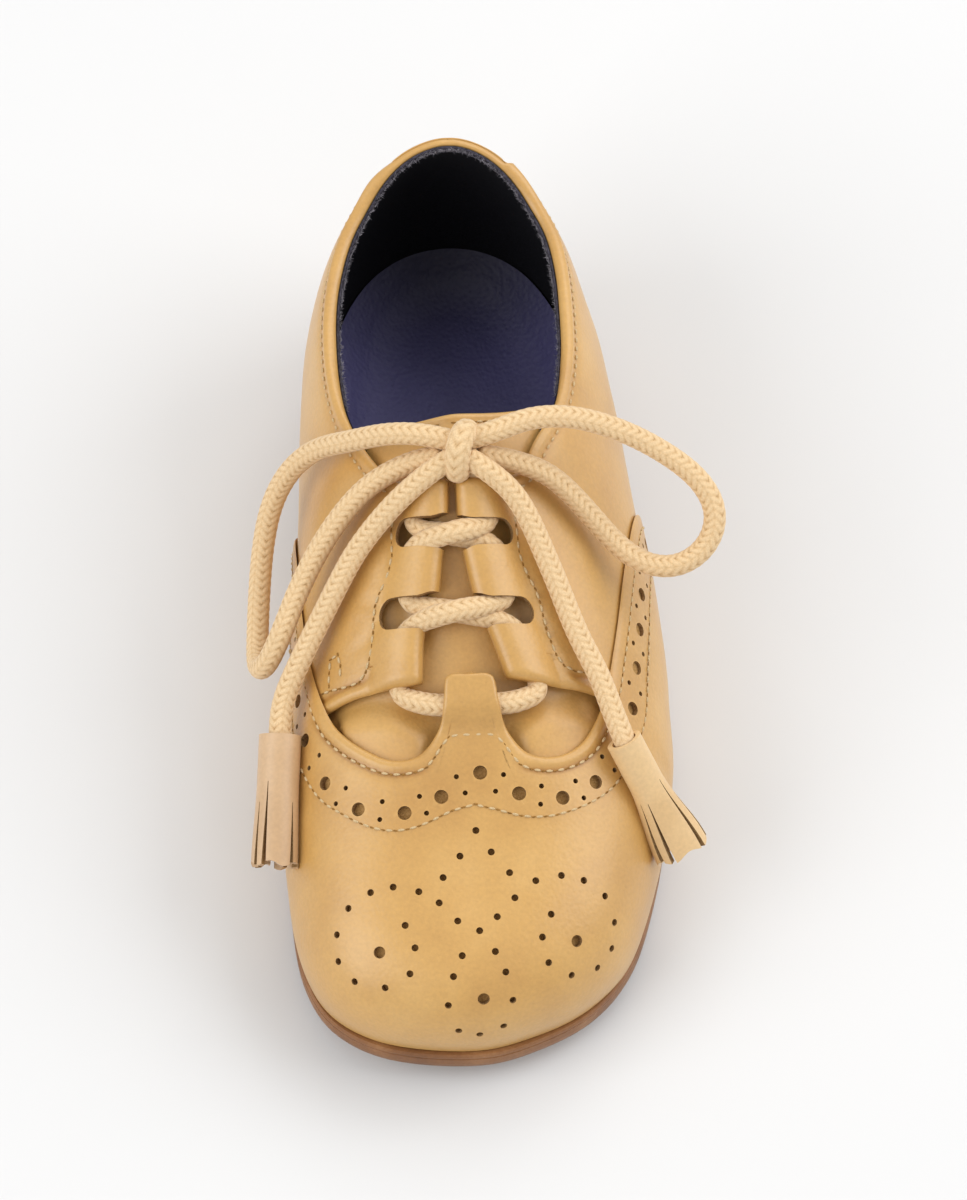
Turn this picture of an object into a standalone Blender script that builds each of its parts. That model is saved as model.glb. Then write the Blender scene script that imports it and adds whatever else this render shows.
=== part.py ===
"""Child's lace-up brogue for the left foot, built up on its last.

The shoe stands on the floor, toe toward -Y and outer side toward +X, with its
origin under the middle of its box. Panels are cut flat, in a pattern plane laid
over the last, and then wrapped onto it: pattern x runs out from the last's ridge
and pattern y along it. Sizes are in millimetres until a mesh is made.
"""

import bmesh
import bpy
import numpy as np
from mathutils import Vector

MM = 0.001

# Driving dimensions
SOLE_THICKNESS = 4.0
SOLE_EASE = 0.8
HEEL_HEIGHT = 6.0
HEEL_EASE = 0.6
HEEL_BREAST = 0.735
TOE_SPRING = 4.6
WALL = 1.6
OVERLAY = 1.2
GAP = 0.3
INSOLE_THICKNESS = 4.2
INSOLE_CLEAR = 1.4
TONGUE_THICKNESS = 1.5
LACE_DIAMETER = 3.4

MEDIAL, LATERAL = -1, 1
SIDE_NAMES = {MEDIAL: "medial", LATERAL: "lateral"}


def table(columns, *rows):
    """Named columns of a short table, the first one rising."""
    return {name: np.array(values, float) for name, values in zip(columns.split(), zip(*rows))}


# Half breadths of the sole's edge along its length
TOE_TIP = (0.4, -74.2)
HEEL_BACK = (0.0, 69.8)
SOLE_EDGE = table(
    "station medial lateral",
    (-72.3, 14.8, 8.4),
    (-67.2, 22.4, 17.6),
    (-58.8, 26.6, 24.2),
    (-46.0, 28.4, 28.6),
    (-32.0, 28.6, 31.2),
    (-16.0, 27.4, 31.8),
    (0.0, 25.4, 30.2),
    (16.0, 23.6, 27.0),
    (32.0, 22.4, 24.0),
    (45.4, 21.2, 21.4),
    (56.2, 18.4, 18.2),
    (63.9, 13.4, 13.2),
    (68.3, 7.2, 7.0),
)

# Distance from the sole's edge in to the upper's foot
FEATHER_INSET = table(
    "station distance",
    (-74.4, 2.3),
    (-58.0, 1.7),
    (-46.0, 1.6),
    (0.0, 2.0),
    (72.0, 2.0),
)

# Underside of the outsole: toe spring, flat ball, arch and heel seat
UNDERSIDE = table(
    "station height",
    (-74.4, TOE_SPRING),
    (-60.0, 2.3),
    (-46.0, 0.6),
    (-34.0, 0.0),
    (-12.0, 0.0),
    (4.0, 1.2),
    (22.0, 4.4),
    (36.0, HEEL_HEIGHT),
    (72.0, HEEL_HEIGHT),
)

# Top line of the last, from the toe to the cone above the ankle
TOE_POLE, HEEL_POLE = -50.0, 46.0
RIDGE = table(
    "station height shift",
    (-62.0, 23.2, 0.4),
    (-50.0, 27.4, 0.4),
    (-40.0, 31.2, 0.6),
    (-30.0, 35.4, 0.6),
    (-20.0, 40.0, 0.2),
    (-10.0, 44.6, -0.5),
    (0.0, 49.0, -1.0),
    (10.0, 53.2, -1.0),
    (20.0, 57.0, -0.6),
    (32.0, 61.0, 0.0),
    (46.0, 67.0, 0.0),
    (60.0, 69.0, 0.0),
)

# Roundness and outward bulge of the last's ribs, by share of the outline from toe to heel
RIB = table(
    "share over up medial lateral",
    (0.0, 2.2, 2.3, 1.6, 1.6),
    (0.2, 2.3, 2.3, 1.8, 1.8),
    (0.4, 2.3, 2.2, 4.0, 4.0),
    (0.6, 1.9, 2.1, 7.6, 6.4),
    (0.75, 1.6, 2.0, 9.0, 7.8),
    (0.88, 1.9, 2.0, 7.2, 6.6),
    (1.0, 4.4, 2.0, 5.0, 5.0),
)
BULGE_GAIN, BULGE_FADE = 1.5, 1.5
CREST_FADE = 3
FEATHER_LIFT = 0.6

# Pattern of the collar: distance from the ridge along the opening
COLLAR = table(
    "station medial lateral",
    (12.6, 16.4, 14.4),
    (21.0, 22.0, 19.6),
    (30.0, 25.0, 21.8),
    (40.0, 26.4, 23.0),
    (50.0, 26.0, 23.8),
    (58.6, 23.4, 22.8),
    (65.2, 19.0, 19.6),
    (70.4, 13.2, 13.6),
    (73.2, 7.0, 7.2),
)
COLLAR_BACK = 74.0

# Pattern of the throat's edge in front of the collar, one row a corner, alike on both sides
THROAT_FRONT = ((0.0, -38.0), (11.0, -37.8), (20.0, -35.2), (24.8, -30.0), (27.0, -25.6))
THROAT_SIDE = ((25.0, -24.6), (13.8, -24.4), (13.4, -16.0), (11.0, -4.0), (10.0, 5.4))

# Pattern of the wing's edge: tab and scallop alike on both sides, then each side's own line
WING_TAB = ((0.0, -23.3), (3.4, -23.4), (4.2, -27.0))
WING_SCALLOP = ((5.2, -31.0), (8.4, -34.6), (12.6, -35.0), (16.8, -33.0))
WING_SIDE = table(
    "station medial lateral",
    (-29.0, 21.6, 20.0),
    (-24.0, 25.0, 22.6),
    (-16.0, 29.0, 25.8),
    (-6.0, 33.0, 29.6),
    (2.0, 36.5, 33.4),
    (9.0, 42.0, 38.6),
    (14.0, 50.0, 47.0),
)
WING_END = 0.615

STRAP_START = 0.932
STRAP_DROP = 0.6

# Pattern of the tongue's half breadth
TONGUE = table(
    "station breadth",
    (-39.5, 20.0),
    (-34.0, 26.0),
    (-27.0, 26.5),
    (-19.0, 19.0),
    (-4.0, 16.0),
    (9.0, 17.0),
    (13.5, 15.6),
    (15.6, 11.0),
)

# Pattern of the folded lace loops from the front one back: ends, fold and root
LOOPS = table(
    "low high fold root",
    (-24.2, -17.4, 5.6, 13.4),
    (-12.6, -5.7, 1.9, 11.2),
    (-1.1, 4.8, 0.5, 9.8),
)
LOOP_AXIS = -0.7
LOOP_RISE = 1.5
LOOP_FOLD = 0.25

# Lace bars beside the tab and crossings in the slots, as pattern points
LACE_BARS = {
    MEDIAL: ((-11.2, -26.2), (-8.0, -26.8), (-5.0, -27.4)),
    LATERAL: ((11.4, -26.2), (8.4, -26.8), (5.2, -27.4)),
}
BAR_HEIGHT = 0.4
CROSS_STATIONS = (-15.0, -3.4)
CROSS_REACH = (9.2, 7.0)
CROSS_HEIGHT = 0.3
CROSS_RISE = 1.6

# The tied lace: routes chosen point by point
KNOT_CENTRE = (0.0, 7.4, 56.4)
KNOT_HALF_SIZE = (5.6, 4.2, 3.6)
LACE_ROUTES = {
    "lace_bow_lateral": (
        (5.7, 9.1, 57.4), (10.5, 10.6, 58.2), (16.6, 11.0, 58.0), (24.4, 9.8, 55.8),
        (32.0, 7.1, 52.4), (37.4, 3.4, 49.6), (39.6, -0.6, 46.6), (37.9, -4.6, 43.4),
        (33.2, -6.8, 41.4), (28.0, -5.4, 40.6), (23.6, -1.8, 41.4), (19.0, 2.2, 45.4),
        (13.7, 5.6, 49.8), (4.6, 6.9, 53.1),
    ),
    "lace_bow_medial": (
        (-5.6, 9.2, 56.8), (-10.4, 10.4, 55.4), (-16.8, 12.2, 50.6), (-22.6, 14.3, 44.6),
        (-26.8, 13.8, 39.0), (-29.6, 10.8, 34.4), (-31.1, 6.2, 30.4), (-31.9, 0.6, 27.0),
        (-32.4, -5.6, 24.2), (-32.6, -10.6, 23.6), (-32.2, -14.4, 26.0), (-30.6, -15.2, 30.4),
        (-28.4, -12.4, 34.6), (-25.2, -6.2, 38.4), (-20.4, 0.2, 43.6), (-14.0, 5.0, 49.2),
        (-4.8, 7.1, 53.1),
    ),
    "lace_end_lateral": (
        (3.1, 3.6, 54.6), (8.4, 0.6, 52.0), (13.4, -8.2, 45.4), (17.4, -17.6, 40.2), (20.6, -23.8, 37.4),
        (22.7, -29.6, 35.0), (24.6, -34.2, 33.0),
    ),
    "lace_end_medial": (
        (-3.4, 3.8, 54.6), (-10.0, 0.6, 51.2), (-16.4, -4.2, 44.8), (-19.6, -8.4, 41.2), (-22.8, -12.8, 37.0),
        (-26.0, -17.6, 33.2), (-28.8, -22.8, 29.4), (-29.3, -28.6, 27.1),
    ),
}
TASSELS = {
    MEDIAL: {"tip": (-30.6, -46.0, 20.4), "radius": 3.2, "flare": 1.12},
    LATERAL: {"tip": (32.8, -44.4, 18.2), "radius": 2.3, "flare": 1.5},
}
TASSEL_STRIPS = 6
TASSEL_HEAD = 0.42
STRIP_TAPER = 0.86

# Colours as red, green, blue and roughness
LEATHER = (0.70, 0.42, 0.16, 0.45)
TONGUE_LEATHER = (0.66, 0.40, 0.17, 0.5)
SOLE_BROWN = (0.27, 0.10, 0.035, 0.6)
INSOLE_NAVY = (0.035, 0.033, 0.07, 0.7)
CORD_TAN = (0.62, 0.42, 0.24, 0.85)

# Mesh fineness
OUTLINE_STEPS = 33
SHARE_SAMPLES, GIRTH_SAMPLES = 241, 81
SAMPLE_STEP, SLOPE_STEP = 0.004, 0.5
FRONT_STEPS, SHELF_STEPS, FLANK_STEPS, COLLAR_STEPS = 9, 4, 9, 20
TAB_STEPS, WING_STEPS = 5, 27
CROSS_POINTS = 5
CORD_STEP, FEWEST_CORD_POINTS = 7.0, 4
CORD_SIDES = 2
KNOT_SEGMENTS, KNOT_RINGS = 14, 9
DOWNWARD = -0.9


def read(rows, column, x):
    """Smooth value of a table's column at x: a monotone cubic through its rows."""
    xs, ys = next(iter(rows.values())), rows[column]
    width = np.diff(xs)
    rise = np.diff(ys) / width
    slope = np.zeros_like(ys)
    same = rise[:-1] * rise[1:] > 0
    slope[1:-1][same] = 2 * rise[:-1][same] * rise[1:][same] / (rise[:-1][same] + rise[1:][same])
    x = np.clip(x, xs[0], xs[-1])
    i = np.clip(np.searchsorted(xs, x, side="right") - 1, 0, len(width) - 1)
    u = (x - xs[i]) / width[i]
    ends = (1 + 2 * u) * (1 - u) ** 2 * ys[i] + u * u * (3 - 2 * u) * ys[i + 1]
    return ends + width[i] * (u * (1 - u) ** 2 * slope[i] + u * u * (u - 1) * slope[i + 1])


def round_curve(points, closed=False, steps=16):
    """Smooth curve through points: a centripetal Catmull-Rom spline."""
    p = np.array(points, float)
    p = np.vstack([p[-1:], p, p[:2]] if closed else [2 * p[0] - p[1], p, 2 * p[-1] - p[-2]])
    spans = []
    for p0, p1, p2, p3 in zip(p[:-3], p[1:-2], p[2:-1], p[3:]):
        k = np.cumsum([0.0] + [np.linalg.norm(b - a) ** 0.5 for a, b in ((p0, p1), (p1, p2), (p2, p3))])
        t = np.linspace(k[1], k[2], steps, endpoint=False)[:, None]
        a1 = ((k[1] - t) * p0 + (t - k[0]) * p1) / (k[1] - k[0])
        a2 = ((k[2] - t) * p1 + (t - k[1]) * p2) / (k[2] - k[1])
        a3 = ((k[3] - t) * p2 + (t - k[2]) * p3) / (k[3] - k[2])
        b1 = ((k[2] - t) * a1 + (t - k[0]) * a2) / (k[2] - k[0])
        b2 = ((k[3] - t) * a2 + (t - k[1]) * a3) / (k[3] - k[1])
        spans.append(((k[2] - t) * b1 + (t - k[1]) * b2) / (k[2] - k[1]))
    curve = np.vstack(spans)
    return curve if closed else np.vstack([curve, p[-2:-1]])


def lengths(curve):
    """Distance along a curve at each of its points."""
    return np.r_[0.0, np.cumsum(np.linalg.norm(np.diff(curve, axis=0), axis=1))]


def spaced(curve, count):
    """The curve again, as count points at even distances."""
    along = lengths(curve)
    wanted = np.linspace(0, along[-1], count)
    return np.stack([np.interp(wanted, along, curve[:, i]) for i in range(curve.shape[1])], 1)


def sole_outline():
    """Closed edge of the sole, from the toe round the outer side to the heel and back."""
    station = SOLE_EDGE["station"]
    outer = list(zip(SOLE_EDGE["lateral"], station))
    inner = list(zip(-SOLE_EDGE["medial"][::-1], station[::-1]))
    return round_curve([TOE_TIP] + outer + [HEEL_BACK] + inner, closed=True)


def inset(loop, distance):
    """A closed loop moved inward."""
    run = np.roll(loop, -1, 0) - np.roll(loop, 1, 0)
    run /= np.linalg.norm(run, axis=1)[:, None]
    return loop + np.reshape(distance, (-1, 1)) * np.stack([-run[:, 1], run[:, 0]], 1)


def half_loops(loop):
    """Each side's half of an outline from toe to heel, with the share of its length."""
    heel = len(loop) // 2
    halves = {LATERAL: loop[:heel + 1], MEDIAL: np.vstack([loop[:1], loop[:heel - 1:-1]])}
    return {side: (lengths(half) / lengths(half)[-1], half) for side, half in halves.items()}


def feather_line():
    """Closed line on the sole where the upper stands."""
    edge = sole_outline()
    return inset(edge, read(FEATHER_INSET, "distance", edge[:, 1]))


FEATHER = half_loops(feather_line())


def underside(y):
    return read(UNDERSIDE, "height", y)


def sole_top(y):
    return underside(y) + SOLE_THICKNESS


def ridge_station(share):
    """Where the rib at a share of the outline meets the ridge."""
    return TOE_POLE + (HEEL_POLE - TOE_POLE) * share * share * (3 - 2 * share)


def feather_point(share, side):
    shares, half = FEATHER[side]
    return np.interp(share, shares, half[:, 0]), np.interp(share, shares, half[:, 1])


def last_point(share, rise, side):
    """Point of the last on one rib: rise 0 at the sole, 1 at the ridge."""
    share, rise = np.broadcast_arrays(np.asarray(share, float), np.asarray(rise, float))
    foot_x, foot_y = feather_point(share, side)
    foot_z = sole_top(foot_y) + FEATHER_LIFT
    top_y = ridge_station(share)
    top_x = read(RIDGE, "shift", top_y)
    top_z = read(RIDGE, "height", top_y)
    ahead, behind = top_y + SLOPE_STEP, top_y - SLOPE_STEP
    slope = (read(RIDGE, "height", ahead) - read(RIDGE, "height", behind)) / (ahead - behind)
    angle = rise * np.pi / 2
    across = 1 - np.cos(angle) ** (2 / read(RIB, "over", share))
    up = np.sin(angle) ** (2 / read(RIB, "up", share))
    span_x, span_y = top_x - foot_x, top_y - foot_y
    bulge = BULGE_GAIN * read(RIB, SIDE_NAMES[side], share) * np.sin(np.pi * rise) * (1 - rise) ** BULGE_FADE
    reach = across - bulge / np.hypot(span_x, span_y)
    top_z = top_z - slope * span_y * (1 - across) * rise ** CREST_FADE
    return np.stack([foot_x + span_x * reach, foot_y + span_y * reach, foot_z + (top_z - foot_z) * up], -1)


SHARES = np.linspace(0, 1, SHARE_SAMPLES)
RISES = np.linspace(1, 0, GIRTH_SAMPLES)


def rib_pattern(side):
    """Girth down each rib from the ridge, and the rib's direction in the pattern plane."""
    ribs = last_point(SHARES[:, None], RISES[None, :], side)
    steps = np.linalg.norm(np.diff(ribs, axis=1), axis=2)
    girth = np.concatenate([np.zeros((SHARE_SAMPLES, 1)), np.cumsum(steps, 1)], 1)
    foot_x, foot_y = feather_point(SHARES, side)
    run = np.stack([foot_x - read(RIDGE, "shift", ridge_station(SHARES)), foot_y - ridge_station(SHARES)], 1)
    return girth, run / np.linalg.norm(run, axis=1)[:, None]


RIBS = {side: rib_pattern(side) for side in SIDE_NAMES}


def pattern_point(share, rise, side):
    """Pattern place of a point of the last."""
    girth, run = RIBS[side]
    i = min(int(share * (SHARE_SAMPLES - 1)), SHARE_SAMPLES - 2)
    w = share * (SHARE_SAMPLES - 1) - i
    down = np.interp(rise, RISES[::-1], (girth[i] * (1 - w) + girth[i + 1] * w)[::-1])
    direction = run[i] * (1 - w) + run[i + 1] * w
    return np.array([0.0, ridge_station(share)]) + down * direction / np.linalg.norm(direction)


def find_ribs(pattern, side):
    """Share and rise of pattern points that lie on one side."""
    girth, run = RIBS[side]
    ahead = run[:, 0] * (pattern[:, 1:] - ridge_station(SHARES)) - run[:, 1] * pattern[:, :1]
    ahead = ahead * side
    i = np.clip((ahead[:, 1:] > 0).sum(1), 0, SHARE_SAMPLES - 2)
    each = np.arange(len(pattern))
    near, far = ahead[each, i], ahead[each, i + 1]
    w = np.clip(near / np.where(near == far, 1.0, near - far), 0, 1)
    share = (i + w) / (SHARE_SAMPLES - 1)
    down = np.hypot(pattern[:, 0], pattern[:, 1] - ridge_station(share))
    tables = girth[i] * (1 - w)[:, None] + girth[i + 1] * w[:, None]
    rise = np.array([np.interp(d, row, RISES) for d, row in zip(down, tables)])
    return share, rise


def wrapped(pattern, height):
    """Pattern points wrapped onto the last, at a height over its surface."""
    pattern = np.atleast_2d(np.asarray(pattern, float))
    height = np.broadcast_to(height, len(pattern))
    places = np.zeros((len(pattern), 3))
    for side in SIDE_NAMES:
        mask = (pattern[:, 0] < 0) == (side == MEDIAL)
        if not mask.any():
            continue
        share, rise = find_ribs(pattern[mask], side)
        along = last_point(np.minimum(share + SAMPLE_STEP, 1), rise, side)
        along = along - last_point(np.maximum(share - SAMPLE_STEP, 0), rise, side)
        upward = last_point(share, np.minimum(rise + SAMPLE_STEP, 1), side)
        upward = upward - last_point(share, np.maximum(rise - SAMPLE_STEP, 0), side)
        normal = np.cross(along, upward) * side
        normal /= np.linalg.norm(normal, axis=1)[:, None]
        places[mask] = last_point(share, rise, side) + normal * height[mask][:, None]
    places[:, 2] = np.maximum(places[:, 2], sole_top(places[:, 1]) + GAP)
    return places


def material(name, colour):
    """Plain leather, rubber or cord colour."""
    red, green, blue, roughness = colour
    made = bpy.data.materials.new(name)
    made.use_nodes = True
    shader = made.node_tree.nodes["Principled BSDF"]
    shader.inputs["Base Color"].default_value = (red, green, blue, 1.0)
    shader.inputs["Roughness"].default_value = roughness
    shader.inputs["Metallic"].default_value = 0.0
    return made


def place(name, data, colour, parent):
    """Object of the shoe, with its own material."""
    piece = bpy.data.objects.new(name, data)
    piece.data.materials.append(material(name, colour))
    piece.parent = parent
    bpy.context.scene.collection.objects.link(piece)
    return piece


def mesh_of(name, points, faces):
    """Closed mesh in metres from millimetre points, welded and facing out."""
    weld = 0.00001
    mesh = bpy.data.meshes.new(name)
    bm = bmesh.new()
    verts = [bm.verts.new(point) for point in np.asarray(points) * MM]
    for face in faces:
        bm.faces.new([verts[i] for i in face])
    bmesh.ops.remove_doubles(bm, verts=bm.verts, dist=weld)
    bmesh.ops.dissolve_degenerate(bm, edges=bm.edges, dist=weld)
    bmesh.ops.recalc_face_normals(bm, faces=bm.faces)
    bm.to_mesh(mesh)
    bm.free()
    mesh.shade_smooth()
    return mesh


def sheet(name, pattern, inner, outer, closed=False):
    """Leather sheet over a grid of pattern points, between two heights over the last."""
    rows, columns = pattern.shape[:2]
    flat = pattern.reshape(-1, 2)
    count = rows * columns
    points = np.vstack([wrapped(flat, np.ravel(inner)), wrapped(flat, np.ravel(outer))])
    last_column = columns if closed else columns - 1
    faces = []
    for r in range(rows - 1):
        for c in range(last_column):
            right = (c + 1) % columns
            quad = [r * columns + c, r * columns + right, (r + 1) * columns + right, (r + 1) * columns + c]
            faces.append(quad)
            faces.append([i + count for i in reversed(quad)])
    rims = [[r * columns + c for c in range(columns)] for r in (0, rows - 1)]
    if closed:
        rims = [rim + rim[:1] for rim in rims]
    else:
        rims += [[r * columns + c for r in range(rows)] for c in (0, columns - 1)]
    for rim in rims:
        faces += [[a, b, b + count, a + count] for a, b in zip(rim[:-1], rim[1:])]
    return mesh_of(name, points, faces)


def stack(name, rings):
    """Solid from rings that run out along one side and back along the other, end to end."""
    size = len(rings[0])
    points = np.vstack(rings)
    faces = []
    for level in range(len(rings) - 1):
        base = level * size
        for i in range(size):
            j = (i + 1) % size
            faces.append([base + i, base + j, base + size + j, base + size + i])
    for base in (0, (len(rings) - 1) * size):
        for i in range(size // 2):
            a, b = base + i, base + size - 1 - i
            quad = [a, a + 1, b - 1, b]
            faces.append(quad if a + 1 != b - 1 else quad[:2] + quad[3:])
    return mesh_of(name, points, faces)


def ring(outline, distance, height, start=0.0):
    """Ring of an outline from a share on, moved inward, at a height that follows y."""
    halves = half_loops(inset(outline, distance))
    shares = np.linspace(start, 1, OUTLINE_STEPS)
    out, back = [np.stack([np.interp(shares, s, half[:, i]) for i in (0, 1)], 1)
                 for s, half in (halves[LATERAL], halves[MEDIAL])]
    path = np.vstack([out, back[-2::-1]])
    return np.column_stack([path, height(path[:, 1])])


def outsole(parent):
    """Sole slab with eased edges."""
    outline = sole_outline()
    rings = [
        ring(outline, SOLE_EASE, underside),
        ring(outline, 0.0, lambda y: underside(y) + SOLE_EASE),
        ring(outline, 0.0, lambda y: sole_top(y) - SOLE_EASE),
        ring(outline, SOLE_EASE, sole_top),
    ]
    place("outsole", stack("outsole", rings), SOLE_BROWN, parent)


def heel(parent):
    """Low heel block under the heel seat."""
    outline = sole_outline()
    rings = [
        ring(outline, HEEL_EASE * 2, np.zeros_like, HEEL_BREAST),
        ring(outline, HEEL_EASE, lambda y: np.full_like(y, HEEL_EASE), HEEL_BREAST),
        ring(outline, HEEL_EASE, lambda y: underside(y) - GAP, HEEL_BREAST),
    ]
    place("heel", stack("heel", rings), SOLE_BROWN, parent)


def insole(parent):
    """Sock on the outsole, inside the upper."""
    outline = feather_line()
    distance = WALL + INSOLE_CLEAR
    rings = [
        ring(outline, distance, lambda y: sole_top(y) + GAP),
        ring(outline, distance, lambda y: sole_top(y) + GAP + INSOLE_THICKNESS),
    ]
    place("insole", stack("insole", rings), INSOLE_NAVY, parent)


def ruled(edge, foot, rows):
    """Grid of pattern points on straight lines from an edge to a foot line."""
    lines = np.linspace(0, 1, rows)[:, None, None]
    return edge[None] * (1 - lines) + foot[None] * lines


def throat_edge(side):
    """Upper's opening on one side, from the throat's front to the back of the collar."""
    front = spaced(round_curve(THROAT_FRONT), FRONT_STEPS)
    shelf = spaced(np.array(THROAT_SIDE[:2]), SHELF_STEPS)
    flank = spaced(round_curve(THROAT_SIDE[1:]), FLANK_STEPS)
    reach = COLLAR[SIDE_NAMES[side]]
    collar = round_curve(list(zip(reach, COLLAR["station"])) + [(0.0, COLLAR_BACK)])
    path = np.vstack([front, shelf, flank[1:], spaced(collar, COLLAR_STEPS)])
    path[:, 0] *= side
    corner = len(front) - 1
    share = np.zeros(len(path))
    turned = find_ribs(path[corner:], side)[0]
    share[corner:] = np.maximum.accumulate(turned)
    share[:corner] = turned[0] * lengths(path[:corner + 1])[:-1] / lengths(path[:corner + 1])[-1]
    share[-1] = 1.0
    foot = np.array([pattern_point(a, 0.0, side) for a in share])
    return path, foot


def upper(parent):
    """The lasted wall: one hollow piece, open above and below."""
    out, out_foot = throat_edge(LATERAL)
    back, back_foot = throat_edge(MEDIAL)
    edge = np.vstack([out, back[-2:0:-1]])
    foot = np.vstack([out_foot, back_foot[-2:0:-1]])
    rows = 9
    grid = ruled(edge, foot, rows)
    place("upper", sheet("upper", grid, -WALL, 0.0, closed=True), LEATHER, parent)


def wing_edge(side):
    """Wing's edge on one side from the tab's middle, and its foot along the sole."""
    tab = spaced(np.array(WING_TAB), TAB_STEPS)
    scallop = round_curve(WING_TAB[-1:] + WING_SCALLOP + tuple(
        zip(WING_SIDE[SIDE_NAMES[side]], WING_SIDE["station"])))
    path = np.vstack([tab, spaced(scallop, WING_STEPS)[1:]])
    path[:, 0] *= side
    share = WING_END * lengths(path) / lengths(path)[-1]
    foot = np.array([pattern_point(a, 0.0, side) for a in share])
    return path, foot


def vamp_wing(parent):
    """Toe and vamp overlay with its scallops and centre tab."""
    out, out_foot = wing_edge(LATERAL)
    back, back_foot = wing_edge(MEDIAL)
    edge = np.vstack([back[:0:-1], out])
    foot = np.vstack([back_foot[:0:-1], out_foot])
    rows = 11
    grid = ruled(edge, foot, rows)
    place("vamp_wing", sheet("vamp_wing", grid, GAP, GAP + OVERLAY), LEATHER, parent)


def back_strap(parent):
    """Heel overlay from the collar to the sole."""
    columns, rows = 5, 9
    lines = []
    for side in (LATERAL, MEDIAL):
        edge = throat_edge(side)[0][-COLLAR_STEPS:]
        shares = np.maximum.accumulate(find_ribs(edge, side)[0])
        wanted = np.linspace(STRAP_START, 1, columns)
        top = np.stack([np.interp(wanted, shares, column) for column in edge.T], 1)
        foot = np.array([pattern_point(a, 0.0, side) for a in wanted])
        lines.append((top, foot))
    (out, out_foot), (back, back_foot) = lines
    edge = np.vstack([out, back[-2::-1]])
    foot = np.vstack([out_foot, back_foot[-2::-1]])
    drop = STRAP_DROP * (foot - edge) / np.linalg.norm(foot - edge, axis=1)[:, None]
    grid = ruled(edge + drop, foot, rows)
    place("back_strap", sheet("back_strap", grid, GAP, GAP + OVERLAY), LEATHER, parent)


def tongue(parent):
    """Tongue under the throat, from below the wing to its rounded top."""
    rows, columns = 15, 11
    drop = -WALL - 2 * GAP
    stations = np.linspace(TONGUE["station"][0], TONGUE["station"][-1], rows)
    breadth = read(TONGUE, "breadth", stations)
    across = np.linspace(-1, 1, columns)
    grid = np.stack([breadth[:, None] * across, np.repeat(stations[:, None], columns, 1)], -1)
    place("tongue", sheet("tongue", grid, drop - TONGUE_THICKNESS, drop), TONGUE_LEATHER, parent)


def lace_loops(parent):
    """Folded leather loops along both sides of the throat."""
    rows, columns = 5, 6
    for side, side_name in SIDE_NAMES.items():
        for i, (low, high, fold, root) in enumerate(zip(*LOOPS.values())):
            stations = np.linspace(low, high, rows)
            reach = np.linspace(fold, root - GAP, columns)
            x = LOOP_AXIS * (1 - np.linspace(0, 1, columns)) + side * reach
            grid = np.stack([np.repeat(x[None], rows, 0), np.repeat(stations[:, None], columns, 1)], -1)
            rise = LOOP_RISE * np.sin(np.pi * np.linspace(LOOP_FOLD, 1, columns))
            outer = np.repeat(rise[None], rows, 0)
            name = f"lace_loop_{side_name}_{i + 1}"
            place(name, sheet(name, grid, -WALL, outer), LEATHER, parent)


def cord(name, route, parent):
    """Round lace along a route: a bevelled curve with closed ends."""
    smooth = round_curve(route)
    count = max(FEWEST_CORD_POINTS, int(lengths(smooth)[-1] / CORD_STEP) + 1)
    path = spaced(smooth, count)
    curve = bpy.data.curves.new(name, "CURVE")
    curve.dimensions = "3D"
    curve.bevel_depth = LACE_DIAMETER / 2 * MM
    curve.bevel_resolution = CORD_SIDES
    curve.use_fill_caps = True
    spline = curve.splines.new("POLY")
    spline.points.add(count - 1)
    for point, (x, y, z) in zip(spline.points, path * MM):
        point.co = (x, y, z, 1.0)
    return place(name, curve, CORD_TAN, parent)


def cord_mesh(name, route, parent):
    """A cord turned into a mesh, for joining with another."""
    guide = cord(name, route, parent)
    bpy.context.view_layer.update()
    mesh = bpy.data.meshes.new_from_object(guide.evaluated_get(bpy.context.evaluated_depsgraph_get()))
    bpy.data.objects.remove(guide)
    return mesh


def lace_bars(parent):
    """Lace beside the centre tab, and its two crossings between the loops."""
    for side, points in LACE_BARS.items():
        cord(f"lace_bar_{SIDE_NAMES[side]}", wrapped(points, BAR_HEIGHT), parent)
    for i, (station, reach) in enumerate(zip(CROSS_STATIONS, CROSS_REACH)):
        name = f"lace_cross_{i + 1}"
        x = LOOP_AXIS + reach * np.linspace(-1, 1, CROSS_POINTS)
        points = np.column_stack([x, np.full_like(x, station)])
        arch = np.sin(np.linspace(0, np.pi, CROSS_POINTS))
        over = wrapped(points, CROSS_HEIGHT + CROSS_RISE * arch)
        under = wrapped(points, CROSS_HEIGHT)
        piece = place(name, cord_mesh(name, over, parent), CORD_TAN, parent)
        other = place(name + "_under", cord_mesh(name, under, parent), CORD_TAN, parent)
        other.hide_render = True
        other.display_type = "WIRE"
        join = piece.modifiers.new("join", "BOOLEAN")
        join.operation = "UNION"
        join.solver = "EXACT"
        join.object = other


def lace_knot(parent):
    """Knot of the bow, a plain rounded body."""
    bm = bmesh.new()
    bmesh.ops.create_uvsphere(bm, u_segments=KNOT_SEGMENTS, v_segments=KNOT_RINGS, radius=1.0)
    bmesh.ops.scale(bm, vec=np.array(KNOT_HALF_SIZE) * MM, verts=bm.verts)
    mesh = bpy.data.meshes.new("lace_knot")
    bm.to_mesh(mesh)
    bm.free()
    mesh.shade_smooth()
    piece = place("lace_knot", mesh, CORD_TAN, parent)
    piece.location = np.array(KNOT_CENTRE) * MM


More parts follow.
